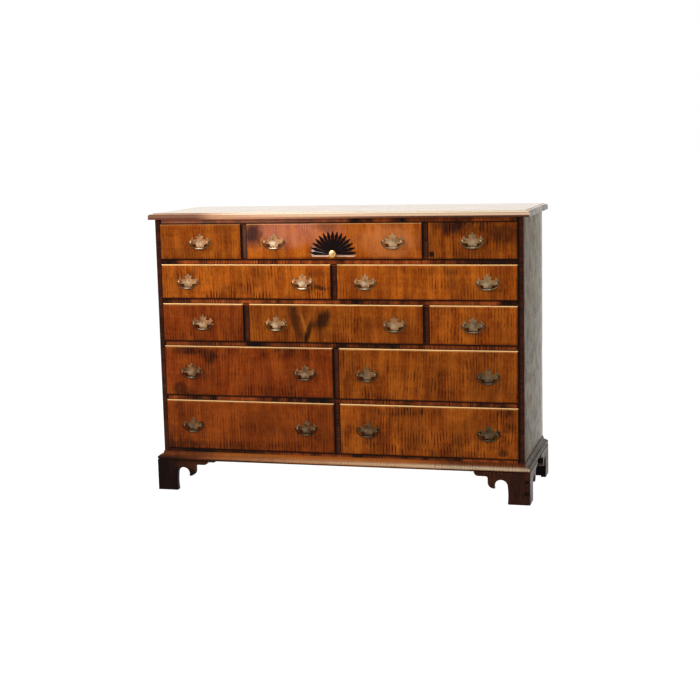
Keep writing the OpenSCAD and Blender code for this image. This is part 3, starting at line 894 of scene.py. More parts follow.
@dataclass
class Case:
    """The top board, the sides and the front frame."""

    body: str = "case"
    soft_edge: float = 1.2 * MM
    top: Maple = TopMaple(
        "top_maple",
        **stain((186, 139, 54), (158, 112, 36), (96, 62, 20)),
        edge=shade(200, 168, 92),
        curl=0.35,
        rough=0.3,
        coat=0.77,
        gleam=0.15,
        coat_rough=0.06,
        seed=2.0,
    )
    side: Maple = SideMaple(
        "side_maple",
        **stain((103, 84, 45), (76, 61, 31), (42, 33, 16)),
        way=Way.UPRIGHT,
        spacing=0.02,
        length=0.06,
        curl=0.7,
        clouds=0.2,
        rough=0.4,
        coat=0.086,
        coat_rough=0.12,
        seed=5.0,
    )
    stile: Maple = Maple(
        "stile_maple",
        **stain((76, 34, 17), (38, 16, 8), (12, 5, 3)),
        way=Way.UPRIGHT,
        seed=8.0,
        # Painted shadow lines by the outer ends of the fronts, broad on the right.
        shadow_lines=(ShadowLine(-0.776, 0.007), ShadowLine(0.776, 0.011)),
    )
    rail: Maple = Maple(
        "rail_maple",
        **stain((178, 86, 34), (120, 50, 18), (12, 5, 3)),
        curl=1.0,
        clouds=1.0,
        spacing=0.0115,
        length=0.12,
        seed=11.0,
        patches=(
            # The first patch is a painted pink sheen on the left of the top rail.
            Patch(-0.45, 1.19, 0.6, 0.06, 0.6, 0.3, stripes=0.5, colour=shade(196, 130, 104)),
            Patch(0.0, 0.654, 1.6, 0.03, 0.85, 0.3, stripes=0.6),
            Patch(0.1, 0.414, 1.6, 0.03, 0.6, 0.3, stripes=0.6),
            Patch(0.68, 1.009, 0.2, 0.05, 1.0, 0.2, stripes=0.1),
            Patch(-0.62, 0.178, 0.42, 0.03, 0.95, 0.15, stripes=0.1),
            Patch(0.1, 0.182, 0.6, 0.01, 0.7, 0.2, stripes=0.3),
        ),
        # Painted shadow lines: broad below each front and below the top board, thin above each front.
        shadow_lines=(
            *(ShadowLine(level, 0.009, True) for level in (0.187, 0.4255, 0.665, 0.8505, 1.02)),
            *(ShadowLine(level, 0.004, True) for level in (0.403, 0.6425, 0.828, 0.9975)),
            ShadowLine(1.17, 0.008, True),
        ),
    )
    divider: Maple = Maple(
        "divider_maple",
        **stain((84, 40, 24), (54, 24, 14), (18, 8, 5)),
        # A painted highlight down the divider left of the top middle front.
        patches=(Patch(-0.39, 1.095, 0.03, 0.12, 0.35, 0.3, stripes=0.4, colour=shade(126, 88, 74)),),
        way=Way.UPRIGHT,
        seed=13.0,
        # Painted shadow lines by the ends of the fronts in the top row.
        shadow_lines=round_fronts((-0.408, -0.381, -0.0135, 0.0135, 0.381, 0.408)),
    )

    def build(self) -> None:
        """Builds the case's boards."""
        side = self.side.build()
        nodes = (
            ("top_board", self.top.build(), "case_maple", ["top"]),
            ("left_side", side, "case_maple", ["side_left"]),
            ("right_side", side, "case_maple", ["side_right"]),
            ("stiles", self.stile.build(), "frame_maple", ["stile_left", "stile_right"]),
            ("front_rails", self.rail.build(), "frame_maple", []),
            ("dividers", self.divider.build(), "frame_maple", []),
        )
        for node, material, slot, names in nodes:
            for number, piece in enumerate(lift(node)):
                soften(piece, self.soft_edge)
                name = names[number] if names else f"{node}_{number + 1}"
                dress(piece, name, material, self.body, node)


@dataclass(frozen=True)
class MouldingMaple(Maple):
    """The maple of the base moulding: dark at its left end, with a painted shadow line along its foot and a
    painted highlight along its bead.
    """

    worn: Colour = shade(206, 184, 150)
    warm: Colour = shade(196, 112, 38)
    bead: float = 0.157
    foot: float = 0.136

    def wood(self, bench: Surface, figure: Outputs) -> None:
        """Paints the wood, the painted shadow along its foot and the painted highlight on its bead."""
        super().wood(bench, figure)
        lower = bench.step(bench.z, self.bead - 0.008, self.bead - 0.002, 0.9, 0.25)
        bench.lay(self.deep, bench.step(bench.x, -0.77, -0.56, 1.0, 0.0), lower)
        left = bench.step(bench.x, -0.65, -0.45, 0.0, 0.4)
        bench.lay(self.warm, left, figure["Streak"], bench.step(bench.x, 0.3, 0.7, 1.0, 0.0))
        # A painted shadow line along the foot of the moulding.
        thick = bench.step(bench.x, -0.6, 0.1, self.foot + 0.0075, self.foot + 0.0035)
        foot_shadow = bench.sum("LESS_THAN", bench.z, thick)
        bench.lay(self.deep, foot_shadow, 0.92, bench.step(bench.x, -0.63, -0.58))
        # A painted highlight along the bead.
        low = bench.step(bench.z, self.bead - 0.005, self.bead + 0.002, 1.0, 0.0)
        high = bench.step(bench.z, self.bead - 0.017, self.bead - 0.011)
        rubbed = bench.times(low, high, bench.step(bench.x, -0.7, 0.6, 0.0, 0.7))
        bench.lay(self.worn, rubbed, bench.less(1.0, bench.times(figure["Curl"], 0.5)))


@dataclass(frozen=True)
class ReturnMaple(Maple):
    """The maple of the boards that run back from the front, near black where their end grain shows."""

    end_grain: Colour = shade(9, 5, 4)
    square_on: tuple[float, float] = (0.9, 0.97)

    def wood(self, bench: Surface, figure: Outputs) -> None:
        """Paints the wood, darker on the faces that look forwards."""
        super().wood(bench, figure)
        bench.lay(self.end_grain, bench.step(bench.ahead, *self.square_on, 0.0, 0.95))

    def varnish(self, bench: Surface) -> object:
        """How much varnish lies on the wood: none on its end grain."""
        return bench.step(bench.ahead, *self.square_on, self.coat, 0.0)


@dataclass
class Base:
    """The base moulding and the bracket feet."""

    body: str = "case"
    soft_edge: float = 0.8 * MM
    moulding: Maple = MouldingMaple(
        "moulding_maple", **stain((124, 62, 26), (92, 42, 16), (36, 14, 6)), seed=17.0
    )
    foot: Maple = Maple(
        "foot_maple", **stain((62, 28, 15), (32, 14, 8), (7, 4, 3)), curl=0.9, under_shade=0.0, low=0.0, seed=19.0
    )
    returned: Maple = ReturnMaple(
        "returned_maple",
        **stain((76, 54, 31), (52, 37, 20), (22, 14, 8)),
        coat=0.16,
        way=Way.DEEP,
        seed=21.0,
    )
    feet: tuple[str, ...] = ("front_left_foot", "front_right_foot", "rear_left_foot", "rear_right_foot")
    tones: tuple[float, ...] = (0.34, 1.5, 0.4, 0.4)
    upper: tuple[Patch, ...] = (
        Patch(-0.6, 0.116, 0.17, 0.036, 0.8, 0.8, stripes=0.75, colour=shade(160, 84, 40)),
        # A painted shadow line along the top of the foot, under the moulding.
        Patch(-0.62, 0.136, 0.12, 0.006, 0.9, 0.2, stripes=0.0),
    )
    tip: float = 66.0 * MM
    corner: float = 9.0 * MM
    rounder: float = 25.0 * MM
    square: float = 1.0 * MM
    at_tip: float = 0.3 * MM
    at_floor: float = 1.0 * MM
    beyond: float = 0.2 * MM

    def round_spur(self, piece: Piece) -> None:
        """Rounds the outer corner of the spur beside a bracket's arch more than the CAD does.

        Args:
            piece: The bracket, as it comes from its CAD node.
        """
        size = size_of(piece)
        along = 0 if size.x > size.y else 1
        points = [vertex.co for vertex in piece.data.vertices]
        ends = [point[along] for point in points if abs(point.z - self.tip) < self.at_tip]
        if not ends:
            return
        pad = [point[along] for point in points if point.z < self.at_floor]
        way = 1.0 if sum(ends) / len(ends) > sum(pad) / len(pad) else -1.0
        around = Vector((0.0, 0.0, self.tip))
        around[along] = way * (max(way * end for end in ends) + self.corner)
        near = self.corner + self.beyond
        found = [max(abs(point[along] - around[along]), abs(point.z - self.tip)) < near for point in points]
        share = [1.0, 1.0, self.rounder / self.corner]
        share[along] = share[2]
        with editing(piece, points=found):
            resize(share, around)

    def build(self) -> None:
        """Builds the moulding and the feet, each board with its grain along its length."""
        deep = self.returned.build()
        finishes = {"base_moulding": self.moulding}
        for number, (foot, tone) in enumerate(zip(self.feet, self.tones)):
            patches = self.upper if number == 0 else ()
            seed = self.foot.seed + number
            finishes[foot] = replace(self.foot, name=foot + "_maple", tone=tone, seed=seed, patches=patches)
        for node, finish in finishes.items():
            across = finish.build()
            for number, piece in enumerate(lift(node), 1):
                size = size_of(piece)
                if node in self.feet:
                    self.round_spur(piece)
                soften(piece, self.soft_edge)
                block = abs(size.x - size.y) < self.square
                material = across if block or size.x > size.y else deep
                dress(piece, f"{node}_{number}", material, self.body, node)


# Drawers


# A painted pink sheen, the light that the upper left of the chest reflects.
PINK_SHEEN = shade(198, 128, 110)
BLUE_BLACK = shade(24, 18, 26)
RED_LIGHT = {"light": shade(200, 96, 26)}
RED = {**RED_LIGHT, "mid": shade(146, 50, 3)}


def look(figure: tuple[float, float, float, float], *patches: Patch) -> dict[str, object]:
    """The settings of one front: its seed, its curl, how lit its edge is, its tone and its patches."""
    return dict(zip(("seed", "curl", "lit", "tone"), figure), patches=patches)


# In each front's figure, the third number is the strength of its painted highlight; the fourth, its tone,
# falls on the lower rows, partly the front's own colour and partly painted shade.
FIGURES: dict[str, dict[str, object]] = {
    "top_left": look((1.0, 0.5, 0.15, 0.6)),
    "top_center": look(
        (2.3, 0.5, 0.3, 0.85),
        Patch(-0.2, 1.14, 0.32, 0.09, 0.85, 1.1, stripes=0.7, colour=PINK_SHEEN),
        Patch(-0.35, 1.13, 0.055, 0.07, 1.0, 0.8, stripes=0.15, colour=BLUE_BLACK),
        Patch(-0.03, 1.16, 0.06, 0.04, 0.6, stripes=0.3, colour=BLUE_BLACK),
        Patch(0.0, 1.022, 0.3, 0.018, 0.35, stripes=0.3),
        Patch(0.24, 1.1, 0.16, 0.1, 0.5, 0.9, stripes=0.4, colour=shade(232, 140, 78)),
    ),
    "top_right": look(
        (3.1, 0.8, 0.0, 0.62),
        Patch(0.5, 1.165, 0.09, 0.066, 1.0, 0.7, stripes=0.3, colour=shade(26, 10, 12)),
        Patch(0.6, 1.17, 0.1, 0.075, 1.0, 0.6, stripes=0.7),
        Patch(0.715, 1.125, 0.1, 0.055, 0.85, 0.9, stripes=0.4),
        Patch(0.421, 1.04, 0.016, 0.018, 0.95, 0.3, stripes=0.0),
    ),
    "second_left": look(
        (4.7, 0.95, 0.9, 0.78),
        Patch(-0.7, 0.92, 0.09, 0.07, 0.35),
        Patch(-0.06, 0.9, 0.03, 0.015, 0.9, 1.2, lean=0.8, stripes=0.2),
        Patch(-0.075, 0.96, 0.06, 0.025, 0.5, 0.9, stripes=0.3),
    ),
    "second_right": look((5.9, 0.75, 0.9, 0.83), Patch(0.46, 0.97, 0.2, 0.02, 0.4)),
    "third_left": look((6.2, 0.85, 0.9, 0.47)) | RED,
    "third_center": look(
        (7.4, 0.7, 0.9, 0.58),
        Patch(-0.055, 0.76, 0.05, 0.06, 1.0, 0.7, lean=-0.45, stripes=0.15),
        Patch(-0.175, 0.76, 0.03, 0.11, 0.9, 0.6, lean=0.26, stripes=0.3),
        Patch(-0.135, 0.74, 0.008, 0.08, 0.5, 0.7, lean=0.3, stripes=0.3, colour=shade(220, 140, 56)),
        Patch(-0.118, 0.71, 0.018, 0.08, 0.95, 0.5, lean=-0.3, stripes=0.1),
        Patch(0.08, 0.75, 0.12, 0.05, 0.4, stripes=0.9),
    ),
    "third_right": look((8.8, 0.8, 0.9, 0.72)),
    "fourth_left": look(
        (9.5, 0.95, 0.7, 0.49),
        Patch(-0.66, 0.622, 0.1, 0.028, 0.9, 1.0, stripes=0.35),
        Patch(-0.57, 0.6, 0.05, 0.045, 0.8, 1.0, lean=0.3, stripes=0.4),
        Patch(-0.2, 0.622, 0.16, 0.04, 0.8, stripes=0.85),
        Patch(-0.71, 0.455, 0.05, 0.045, 0.85, 0.8, stripes=0.3),
    )
    | RED,
    "fourth_right": look((10.6, 0.95, 0.9, 0.58), Patch(0.05, 0.5, 0.04, 0.05, 0.5, stripes=0.6)),
    "bottom_left": look(
        (11.2, 0.8, 0.7, 0.48),
        Patch(-0.4, 0.21, 0.34, 0.03, 0.5, stripes=0.6),
        Patch(-0.7, 0.2, 0.16, 0.035, 0.6, 0.7, stripes=0.4),
    )
    | RED_LIGHT,
    "bottom_right": look(
        (12.9, 0.95, 0.9, 0.68),
        Patch(0.27, 0.378, 0.17, 0.03, 0.85, 0.9, stripes=0.7),
        Patch(0.72, 0.39, 0.05, 0.035, 0.8, stripes=0.6),
        Patch(0.711, 0.213, 0.03, 0.022, 0.95, 0.6, stripes=0.3),
        Patch(0.735, 0.32, 0.035, 0.028, 0.7, 0.9, stripes=0.5),
        Patch(0.5, 0.2, 0.14, 0.024, 0.7, 0.9, stripes=0.85),
    ),
}


@dataclass(frozen=True)
class FanMaple(Maple):
    """The maple of the front with the fan: dark in the gouges, with a painted highlight on the lower left of
    the fan and on the ledge.
    """

    middle: Triple = (0.0, 0.0, 1.037)
    gouge: Colour = shade(20, 10, 10)
    ridge_highlight: Colour = shade(196, 176, 164)
    ledge: Colour = shade(244, 214, 196)

    def wood(self, bench: Surface, figure: Outputs) -> None:
        """Paints the wood, and over it the carving."""
        super().wood(bench, figure)
        off = bench.join("SUBTRACT", bench.place, self.middle)
        away = bench.length(bench.scaled(off, (1.0, 0.0, 1.0)))
        across, _, height = bench.split(off)
        above = bench.step(height, 0.0002, 0.0008)
        face = self.box[0].y
        sunk = bench.step(bench.y, face + 0.0002, face + 0.0007)
        bench.lay(self.gouge, bench.step(away, 0.06, 0.074, 0.95, 0.0), above)
        # A painted highlight on the raised wood between the rays at the lower left.
        left = bench.step(across, -0.022, -0.05)
        lower = bench.step(bench.sum("DIVIDE", height, away), 0.28, 0.46, 1.0, 0.0)
        bench.lay(self.ridge_highlight, left, lower, bench.step(away, 0.088, 0.1, 0.85, 0.0), above)
        inside = bench.step(away, 0.105, 0.108, 1.0, 0.0)
        bench.lay(self.gouge, sunk, inside, above)
        # A painted highlight along the ledge under the rays.
        near = bench.times(inside, bench.step(height, -0.0085, -0.0075))
        bench.lay(self.ledge, sunk, near, bench.less(1.0, above), 0.9)


@dataclass
class Drawer:
    """One drawer: its front and the four boards behind it."""

    label: str
    soft_edge: float = 0.6 * MM
    # A painted shadow on the front, under each pull's plate and inside its bail.
    dirt: Patch = Patch(0.0, -0.014, 0.05, 0.03, 0.9, 0.15, stripes=0.0)
    parts: dict[str, Piece] = field(default_factory=dict)

    @property
    def node(self) -> str:
        """The name of the drawer's CAD node, and of its body."""
        return "drawer_" + self.label

    def front_finish(self) -> Maple:
        """The finish of this drawer's own front, with a painted shadow under each pull."""
        kind = FanMaple if self.label == Fan.label else Maple
        made = kind(self.label + "_front_maple", box=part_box(self.node), **FIGURES[self.label])
        places = [joint["pos_m"] for joint in frame["joints"] if joint["parent"] == self.node]
        dirt = tuple(replace(self.dirt, x=x, z=z + self.dirt.z) for x, _, z in places)
        return replace(made, patches=made.patches + dirt)

    def part(self) -> None:
        """Parts the drawer into its front, its sides, its back and its bottom."""
        boards = lift(self.node)
        bottom = min(boards, key=lambda board: size_of(board).z)
        boards.remove(bottom)
        front, *sides, back = sorted(boards, key=lambda board: middle_of(board).y)
        left, right = sorted(sides, key=lambda board: middle_of(board).x)
        self.parts = {"front": front, "side_left": left, "side_right": right, "back": back, "bottom": bottom}

    def build(self, across: Material, deep: Material) -> None:
        """Softens and dresses the boards.

        Args:
            across: The inside wood with its grain along X.
            deep: The inside wood with its grain along Y.
        """
        for name, piece in self.parts.items():
            soften(piece, 0.0 if name == "front" and self.label == Fan.label else self.soft_edge)
            material, slot = deep if name.startswith("side") else across, "inside_wood"
            if name == "front":
                material, slot = self.front_finish().build(), "front_maple"
            dress(piece, f"{self.label}_{name}", material, self.node, self.node)


@dataclass
class Fan:
    """The carved fan at the foot of the top middle front: gouged rays over a sloping ledge."""

    label = "top_center"
    z: float = 1037.0 * MM
    reach: float = 101.0 * MM
    widest: float = 80.0 * MM
    half_width: float = 7.8 * MM
    tip_width: float = 2.0 * MM
    inner: float = 13.5 * MM
    depth: float = 5.5 * MM
    rays: int = 15
    pocket: float = 5.0 * MM
    ledge_fall: float = 6.5 * MM
    ledge_deep: float = 5.0 * MM
    proud: float = 1.0 * MM
    around: float = 2.0 * MM
    skin: float = 0.05 * MM

    def flatten(self, board: Piece) -> None:
        """Takes the CAD's plain pockets out of the front and closes its face."""
        face = box_of(board)[0].y

        def in_pocket(middle: Vector, normal: Vector) -> bool:
            """Whether a face belongs to a pocket."""
            near = math.hypot(middle.x, middle.z - self.z) < self.reach + self.around
            return near and face + self.skin < middle.y < face + self.pocket

        with editing(board, in_pocket):
            bpy.ops.mesh.delete(type="FACE")
            take_all()
            bpy.ops.mesh.fill_holes(sides=0)
            take_all()
            bpy.ops.mesh.dissolve_limited(angle_limit=FLAT_ANGLE)

    def gouge(self, face: float) -> Piece:
        """Makes the shape that cuts the upright ray.

        Args:
            face: Where the front's face is along Y.

        Returns:
            A cutter that tapers both ways from its widest place.
        """
        tip = self.reach - self.widest
        bpy.ops.mesh.primitive_cone_add(
            vertices=20,
            radius1=self.half_width,
            radius2=self.tip_width,
            depth=tip,
            location=(0.0, face, self.z + self.widest + tip / 2),
        )
        made = settled()
        narrow = self.inner / self.widest
        root = (0.0, face, self.z + self.inner)
        with editing(made, looks_down):
            draw_on((0.0, 0.0, self.inner - self.widest))
            resize((narrow, narrow, 1.0), root)
            take_all()
            resize((1.0, self.depth / self.half_width, 1.0), root)
        return made

    def ledge(self, face: float) -> Piece:
        """Makes the wedge that cuts the sloping ledge under the rays."""
        low = self.z - self.ledge_fall
        middle = (0.0, face + (self.ledge_deep - self.proud) / 2, (self.z + low) / 2)
        bpy.ops.mesh.primitive_cube_add(size=1.0, location=middle)
        made = settled((2 * (self.reach - self.around), self.ledge_deep + self.proud, self.ledge_fall))
        with editing(made, looks_down):
            resize((0.9, 0.02, 1.0), (0.0, face - self.proud, low))
        return made

    def carve(self, board: Piece) -> None:
        """Cuts the fan into the front."""
        self.flatten(board)
        face = box_of(board)[0].y
        pattern = self.gouge(face)
        middle = Vector((0.0, face, self.z))
        cutters = [self.ledge(face)]
        for ray in range(self.rays):
            made = copy_of(pattern, -middle)
            turn = (ray - (self.rays - 1) / 2) * math.pi / self.rays
            made.data.transform(Matrix.Rotation(turn, 4, "Y"))
            made.data.transform(Matrix.Translation(middle))
            cutters.append(made)
        bpy.data.objects.remove(pattern)
        choose(*cutters)
        bpy.ops.object.join()
        cutter = bpy.context.view_layer.objects.active
        finish_with(board, "BOOLEAN", operation="DIFFERENCE", object=cutter, solver="EXACT", use_self=True)
        bpy.data.objects.remove(cutter)


# Brass


KNOB_BRASS = Brass("knob_brass", bright=shade(240, 196, 122), dull=shade(196, 144, 84), much=0.1, rough=0.2)


@dataclass
class Knob:
    """The brass knob at the foot of the fan: a flattened ball on a neck and a flange."""

    x: float = 3.0 * MM
    z: float = 1044.0 * MM
    ball: float = 18.0 * MM
    flat: float = 0.78
    height: float = 34.0 * MM
    neck: float = 6.0 * MM
    flange: float = 9.0 * MM
    flange_proud: float = 0.9 * MM
    cut_at: float = 0.86
    neck_at: float = 0.93
    sunk: float = 0.2 * MM
    soft_edge: float = 0.5 * MM

    def build(self, face: float, material: Material) -> None:
        """Models the knob on the front's face.

        Args:
            face: Where the front's face is along Y.
            material: The brass.
        """
        half = self.ball * self.flat
        middle = Vector((self.x, face - self.height + half, self.z))
        bpy.ops.mesh.primitive_uv_sphere_add(
            segments=40, ring_count=24, radius=self.ball, location=middle, rotation=(math.pi / 2, 0.0, 0.0)
        )
        made = settled((1.0, 1.0, self.flat))
        with editing(made, lambda centre, normal: centre.y > middle.y + half * self.cut_at):
            bpy.ops.mesh.delete(type="FACE")
        stops = (
            (self.neck, middle.y + half * self.neck_at),
            (self.flange, face - self.flange_proud),
            (self.flange, face + self.sunk),
        )
        self.draw_out(made, middle, stops)
        soften(made, self.soft_edge)
        dress(made, "knob", material, "drawer_" + Fan.label, "pulls_" + Fan.label)

    def draw_out(self, made: Piece, middle: Vector, stops: tuple[tuple[float, float], ...]) -> None:
        """Draws the open back of the ball out into the neck and the flange.

        Args:
            made: The ball, open at its back.
            middle: The ball's middle.
            stops: Each next ring's radius and place along Y.
        """
        points = [vertex.co for vertex in made.data.vertices]
        back = max(point.y for point in points)
        ring = [point.y > back - 0.01 * MM for point in points]
        width = max(math.hypot(p.x - middle.x, p.z - middle.z) for p, found in zip(points, ring) if found)
        with editing(made, points=ring):
            bpy.ops.mesh.edge_face_add()
            for radius, along in stops:
                draw_on((0.0, along - back, 0.0))
                share = radius / width
                resize((share, 1.0, share), (middle.x, along, middle.z))
                width, back = radius, along


@dataclass
class Bail:
    """The swinging bail: a tapered bow with a pin at each end, made once and copied."""

    half: float = 46.0 * MM
    drop: float = 28.0 * MM
    thin: float = 1.9 * MM
    thick: float = 3.2 * MM
    bore: float = 38.0 * MM
    pin: float = 1.5 * MM
    beyond: float = 3.0 * MM
    pin_edge: float = 0.4 * MM
    end_ball: float = 1.26
    steps: int = 28
    square: float = 0.82
    # The bail's painted highlight lies along the bottom of its bow.
    finish: Brass = PlateBrass(
        "aged_brass_bail",
        bright=shade(92, 66, 42),
        dull=shade(54, 38, 24),
        much=0.45,
        rough=0.34,
        spot=(0.5, 0.22, 0.0),
        spread=(0.22, 0.1, 1.0),
    )

    def point(self, step: float) -> Vector:
        """A point on the bow's middle line, from the right end to the left."""
        turn = math.pi * step / self.steps
        across = math.copysign(abs(math.cos(turn)) ** self.square, math.cos(turn))
        return Vector((self.half * across, 0.0, -self.drop * abs(math.sin(turn)) ** self.square))

    def lean(self, step: int) -> float:
        """The way that the bow runs at a step, as an angle from +X towards +Z."""
        way = self.point(min(step + 0.5, self.steps)) - self.point(max(step - 0.5, 0.0))
        return math.atan2(way.z, way.x)

    def radius(self, step: int) -> float:
        """How thick the bow is at a step."""
        return self.thin + (self.thick - self.thin) * math.sin(math.pi * step / self.steps) ** 4

    def bow(self) -> Piece:
        """Models the bow round the bail's own turning line."""
        bpy.ops.mesh.primitive_circle_add(
            vertices=14, radius=self.radius(0), fill_type="NGON", location=self.point(0)
        )
        made = settled()
        with editing(made):
            take_all()
            for step in range(self.steps):
                here = self.point(step + 1)
                draw_on(here - self.point(step))
                turn = (self.lean(step + 1) - self.lean(step) + math.pi) % (2 * math.pi) - math.pi
                bpy.ops.transform.rotate(value=turn, orient_axis="Y", center_override=here)
                share = self.radius(step + 1) / self.radius(step)
                resize((share, share, share), here)
        return made

    def model(self) -> Piece:
        """Models the bail.

        Returns:
            The bail, with the middle between its ends at the origin.
        """
        choose()
        made = self.bow()
        ends = []
        long = self.half - self.bore + 2 * self.beyond
        for side in (-1, 1):
            place = (side * self.half, 0.0, 0.0)
            bpy.ops.mesh.primitive_uv_sphere_add(
                segments=16, ring_count=10, radius=self.end_ball * self.thin, location=place
            )
            ends.append(bpy.context.active_object)
            bpy.ops.mesh.primitive_cylinder_add(
                vertices=16,
                radius=self.pin,
                depth=long,
                location=(side * (self.half - long / 2 + self.beyond), 0.0, 0.0),
                rotation=(0.0, math.pi / 2, 0.0),
            )
            ends.append(bpy.context.active_object)
            finish_with(ends[-1], "BEVEL", width=self.pin_edge, segments=2)
        choose(*ends, made)
        bpy.ops.object.join()
        bpy.ops.object.transform_apply(location=True, rotation=True, scale=True)
        with editing(made):
            take_all()
            bpy.ops.mesh.normals_make_consistent(inside=False)
        soften(made, 0.0)
        draw_map(made, Vector())
        return made


def bails() -> Iterator[tuple[str, str, Vector]]:
    """The label, the drawer and the place of every bail in the frame."""
    for joint in frame["joints"]:
        if joint["child"].startswith("bail_"):
            yield joint["child"].removeprefix("bail_"), joint["parent"], Vector(joint["pos_m"])


@dataclass
class Pulls:
    """The brass pulls: a plate, two posts, two nuts and a bail each, made once and copied."""

    pattern: str = "top_left"
    plate_edge: float = 0.35 * MM
    post_long: float = 0.02
    bail: Bail = field(default_factory=Bail)
    finish: Brass = PlateBrass("aged_brass_plate")
    post_finish: Brass = Brass(
        "aged_brass_post", bright=shade(214, 166, 120), dull=shade(140, 100, 64), much=0.2, rough=0.28
    )
    pieces: dict[str, Piece] = field(default_factory=dict)

    def model(self) -> None:
        """Makes the plate, the posts and the nuts of the first pull."""
        boards = lift("pulls_" + self.pattern)
        plate = max(boards, key=lambda board: size_of(board).x)
        boards.remove(plate)
        soften(plate, self.plate_edge)
        draw_map(plate, next(place for label, _, place in bails() if label == self.pattern))
        self.pieces["plate"] = plate
        posts = [board for board in boards if size_of(board).y > self.post_long]
        nuts = [board for board in boards if size_of(board).y <= self.post_long]
        for name, group in (("posts", posts), ("nuts", nuts)):
            choose(*group)
            bpy.ops.object.join()
            self.pieces[name] = bpy.context.view_layer.objects.active
            soften(self.pieces[name], 0.0)

    def build(self) -> None:
        """Copies the first pull to every bail's place."""
        plate, post = self.finish.build(), self.post_finish.build()
        materials = {"plate": plate, "posts": post, "nuts": post}
        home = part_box("bail_" + self.pattern)[0]
        for label, drawer, _ in bails():
            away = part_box("bail_" + label)[0] - home
            for name, piece in self.pieces.items():
                made = copy_of(piece, away) if label != self.pattern else piece
                node = drawer.replace("drawer_", "pulls_")
                dress(made, f"{name}_{label}", materials[name], drawer, node)

    def hang(self) -> None:
        """Copies the bail to every place of a bail."""
        pattern = self.bail.model()
        material = self.bail.finish.build()
        for label, _, place in bails():
            body = "bail_" + label
            dress(copy_of(pattern, place), body + "_bow", material, body, body)
        bpy.data.objects.remove(pattern)


# The room


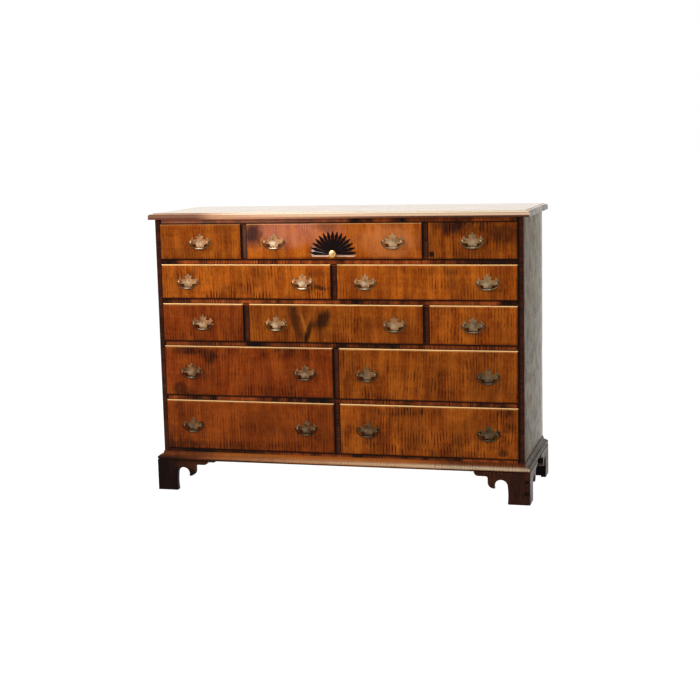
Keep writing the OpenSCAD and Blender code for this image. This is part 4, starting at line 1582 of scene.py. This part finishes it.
@dataclass
class Studio:
    """The camera, the floor, the light and the white round the chest."""

    camera_place: Triple = (1.6262, -5.9925, 1.5214)
    yaw: float = 15.276
    pitch: float = -8.488
    roll: float = -1.342
    focal_px: float = 1420.6
    picture_px: float = 700.0
    sensor_mm: float = 36.0
    far: float = 200.0
    floor_reach: float = 60.0
    floor_colour: Colour = (0.86, 0.86, 0.86, 1.0)
    floor_glow: float = 1.2
    white_share: float = 0.82
    world_light: float = 0.36

    def camera(self) -> None:
        """Sets the camera where the photograph was taken from."""
        data = bpy.data.cameras.new("camera")
        data.sensor_width = self.sensor_mm
        data.lens = self.focal_px * self.sensor_mm / self.picture_px
        data.clip_end = self.far
        made = placed("camera", data)
        yaw, pitch, roll = (math.radians(turn) for turn in (self.yaw, self.pitch, self.roll))
        level = math.cos(pitch)
        ahead = Vector((-math.sin(yaw) * level, math.cos(yaw) * level, math.sin(pitch)))
        right = Vector((math.cos(yaw), math.sin(yaw), 0.0))
        up = right.cross(ahead)
        side = right * math.cos(roll) + up * math.sin(roll)
        top = up * math.cos(roll) - right * math.sin(roll)
        turn = Matrix((side, top, -ahead)).transposed().to_4x4()
        made.matrix_world = Matrix.Translation(self.camera_place) @ turn
        bpy.context.scene.camera = made

    def seen(self, bench: Bench) -> Socket:
        """One where the camera, a reflection or a clear piece looks, and nought for plain light."""
        path = bench.add("LightPath").outputs
        both = bench.sum("MAXIMUM", path["Is Camera Ray"], path["Is Glossy Ray"])
        return bench.sum("MAXIMUM", both, path["Is Transmission Ray"])

    def floor(self) -> None:
        """Lays the white floor, which keeps a faint shadow."""
        bpy.ops.mesh.primitive_circle_add(
            vertices=64, radius=self.floor_reach, fill_type="NGON", location=(0, 0, 0)
        )
        made = bpy.context.active_object
        made.name = "floor"
        material = bpy.data.materials.new("white_floor")
        material.use_nodes = True
        material.node_tree.nodes.clear()
        bench = Bench(material.node_tree)
        plain = bench.add("BsdfDiffuse", Color=self.floor_colour)
        glow = bench.add("Emission", Color=WHITE, Strength=self.floor_glow)
        both = bench.add("MixShader")
        much = bench.times(self.seen(bench), self.white_share)
        for socket, value in zip(both.inputs, (much, plain.outputs[0], glow.outputs[0])):
            bench.feed(socket, value)
        bench.add("OutputMaterial", Surface=both.outputs[0])
        made.data.materials.append(material)

    def world(self) -> None:
        """Sets the white all round, which lights at a lower level than it shows."""
        made = bpy.data.worlds.new("white_room")
        made.use_nodes = True
        bench = Bench(made.node_tree)
        inputs = made.node_tree.nodes["Background"].inputs
        bench.feed(inputs["Strength"], bench.step(self.seen(bench), 0.0, 1.0, self.world_light, 1.0))
        inputs["Color"].default_value = WHITE
        bpy.context.scene.world = made

    def lamp(
        self, name: str, place: Triple, aim: Triple, size: float, watts: float, fill: bool = False
    ) -> None:
        """Hangs a square lamp.

        Args:
            name: The lamp's name.
            place: Where it hangs.
            aim: What it looks at.
            size: Its width, in metres.
            watts: Its power.
            fill: Whether it only fills, and isn't seen in what is glossy.
        """
        data = bpy.data.lights.new(name, "AREA")
        data.size = size
        data.energy = watts
        made = placed(name, data)
        made.location = place
        made.visible_glossy = not fill
        made.rotation_euler = (Vector(aim) - Vector(place)).to_track_quat("-Z", "Y").to_euler()

    def build(self) -> None:
        """Builds the room."""
        self.camera()
        self.floor()
        self.world()
        self.lamp("overhead", (-0.6, -1.2, 3.2), (0.0, -0.1, 0.8), 1.6, 62.0)
        self.lamp("key", (-3.6, -3.4, 3.0), (0.0, -0.2, 0.7), 0.9, 125.0)
        self.lamp("right_fill", (3.6, 0.9, 1.6), (0.8, 0.0, 0.6), 2.0, 24.0, fill=True)
        self.lamp("left_fill", (-3.6, 1.4, 1.6), (-0.8, 0.0, 0.6), 2.0, 24.0, fill=True)
        self.lamp("back_fill", (0.4, 4.2, 1.8), (0.0, 0.3, 0.6), 2.0, 70.0, fill=True)


def dress_inside() -> None:
    """Gives the boards inside the case, which stay as the CAD has them, their wood."""
    plain = PlainWood("inside_wood_across", seed=31.0)
    backing = replace(
        plain,
        name="back_board_wood",
        seed=37.0,
        way=Way.UPRIGHT,
        **stain((186, 142, 90), (150, 108, 64), (98, 66, 38)),
        clouds=0.3,
        nail_rows=(0.215, 0.7, 1.165),
    )
    materials = dict.fromkeys(("bottom_board", "base_frame", "web_frames", "drawer_guides"), plain.build())
    materials["back_boards"] = backing.build()
    for node, material in materials.items():
        piece = frame["nodes"][node]
        piece.data.materials.clear()
        piece.data.materials.append(material)
        log.info("%s: the CAD's own boards, in %s", node, material.name)


def main() -> None:
    """Builds the chest and the room round it."""
    logging.basicConfig(level=logging.INFO, format="%(name)s %(message)s")
    bpy.context.scene.view_settings.view_transform = "Standard"
    Case().build()
    Base().build()
    dress_inside()
    inside = PlainWood("drawer_wood", clouds=0.25, seed=23.0)
    across = inside.build()
    deep = replace(inside, name="drawer_wood_side", way=Way.DEEP).build()
    for label in FIGURES:
        drawer = Drawer(label)
        drawer.part()
        if label == Fan.label:
            Fan().carve(drawer.parts["front"])
        drawer.build(across, deep)
    pulls = Pulls()
    pulls.model()
    pulls.build()
    Knob().build(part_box("drawer_" + Fan.label)[0].y, KNOB_BRASS.build())
    pulls.hang()
    Studio().build()


if __name__ == "__main__":
    main()
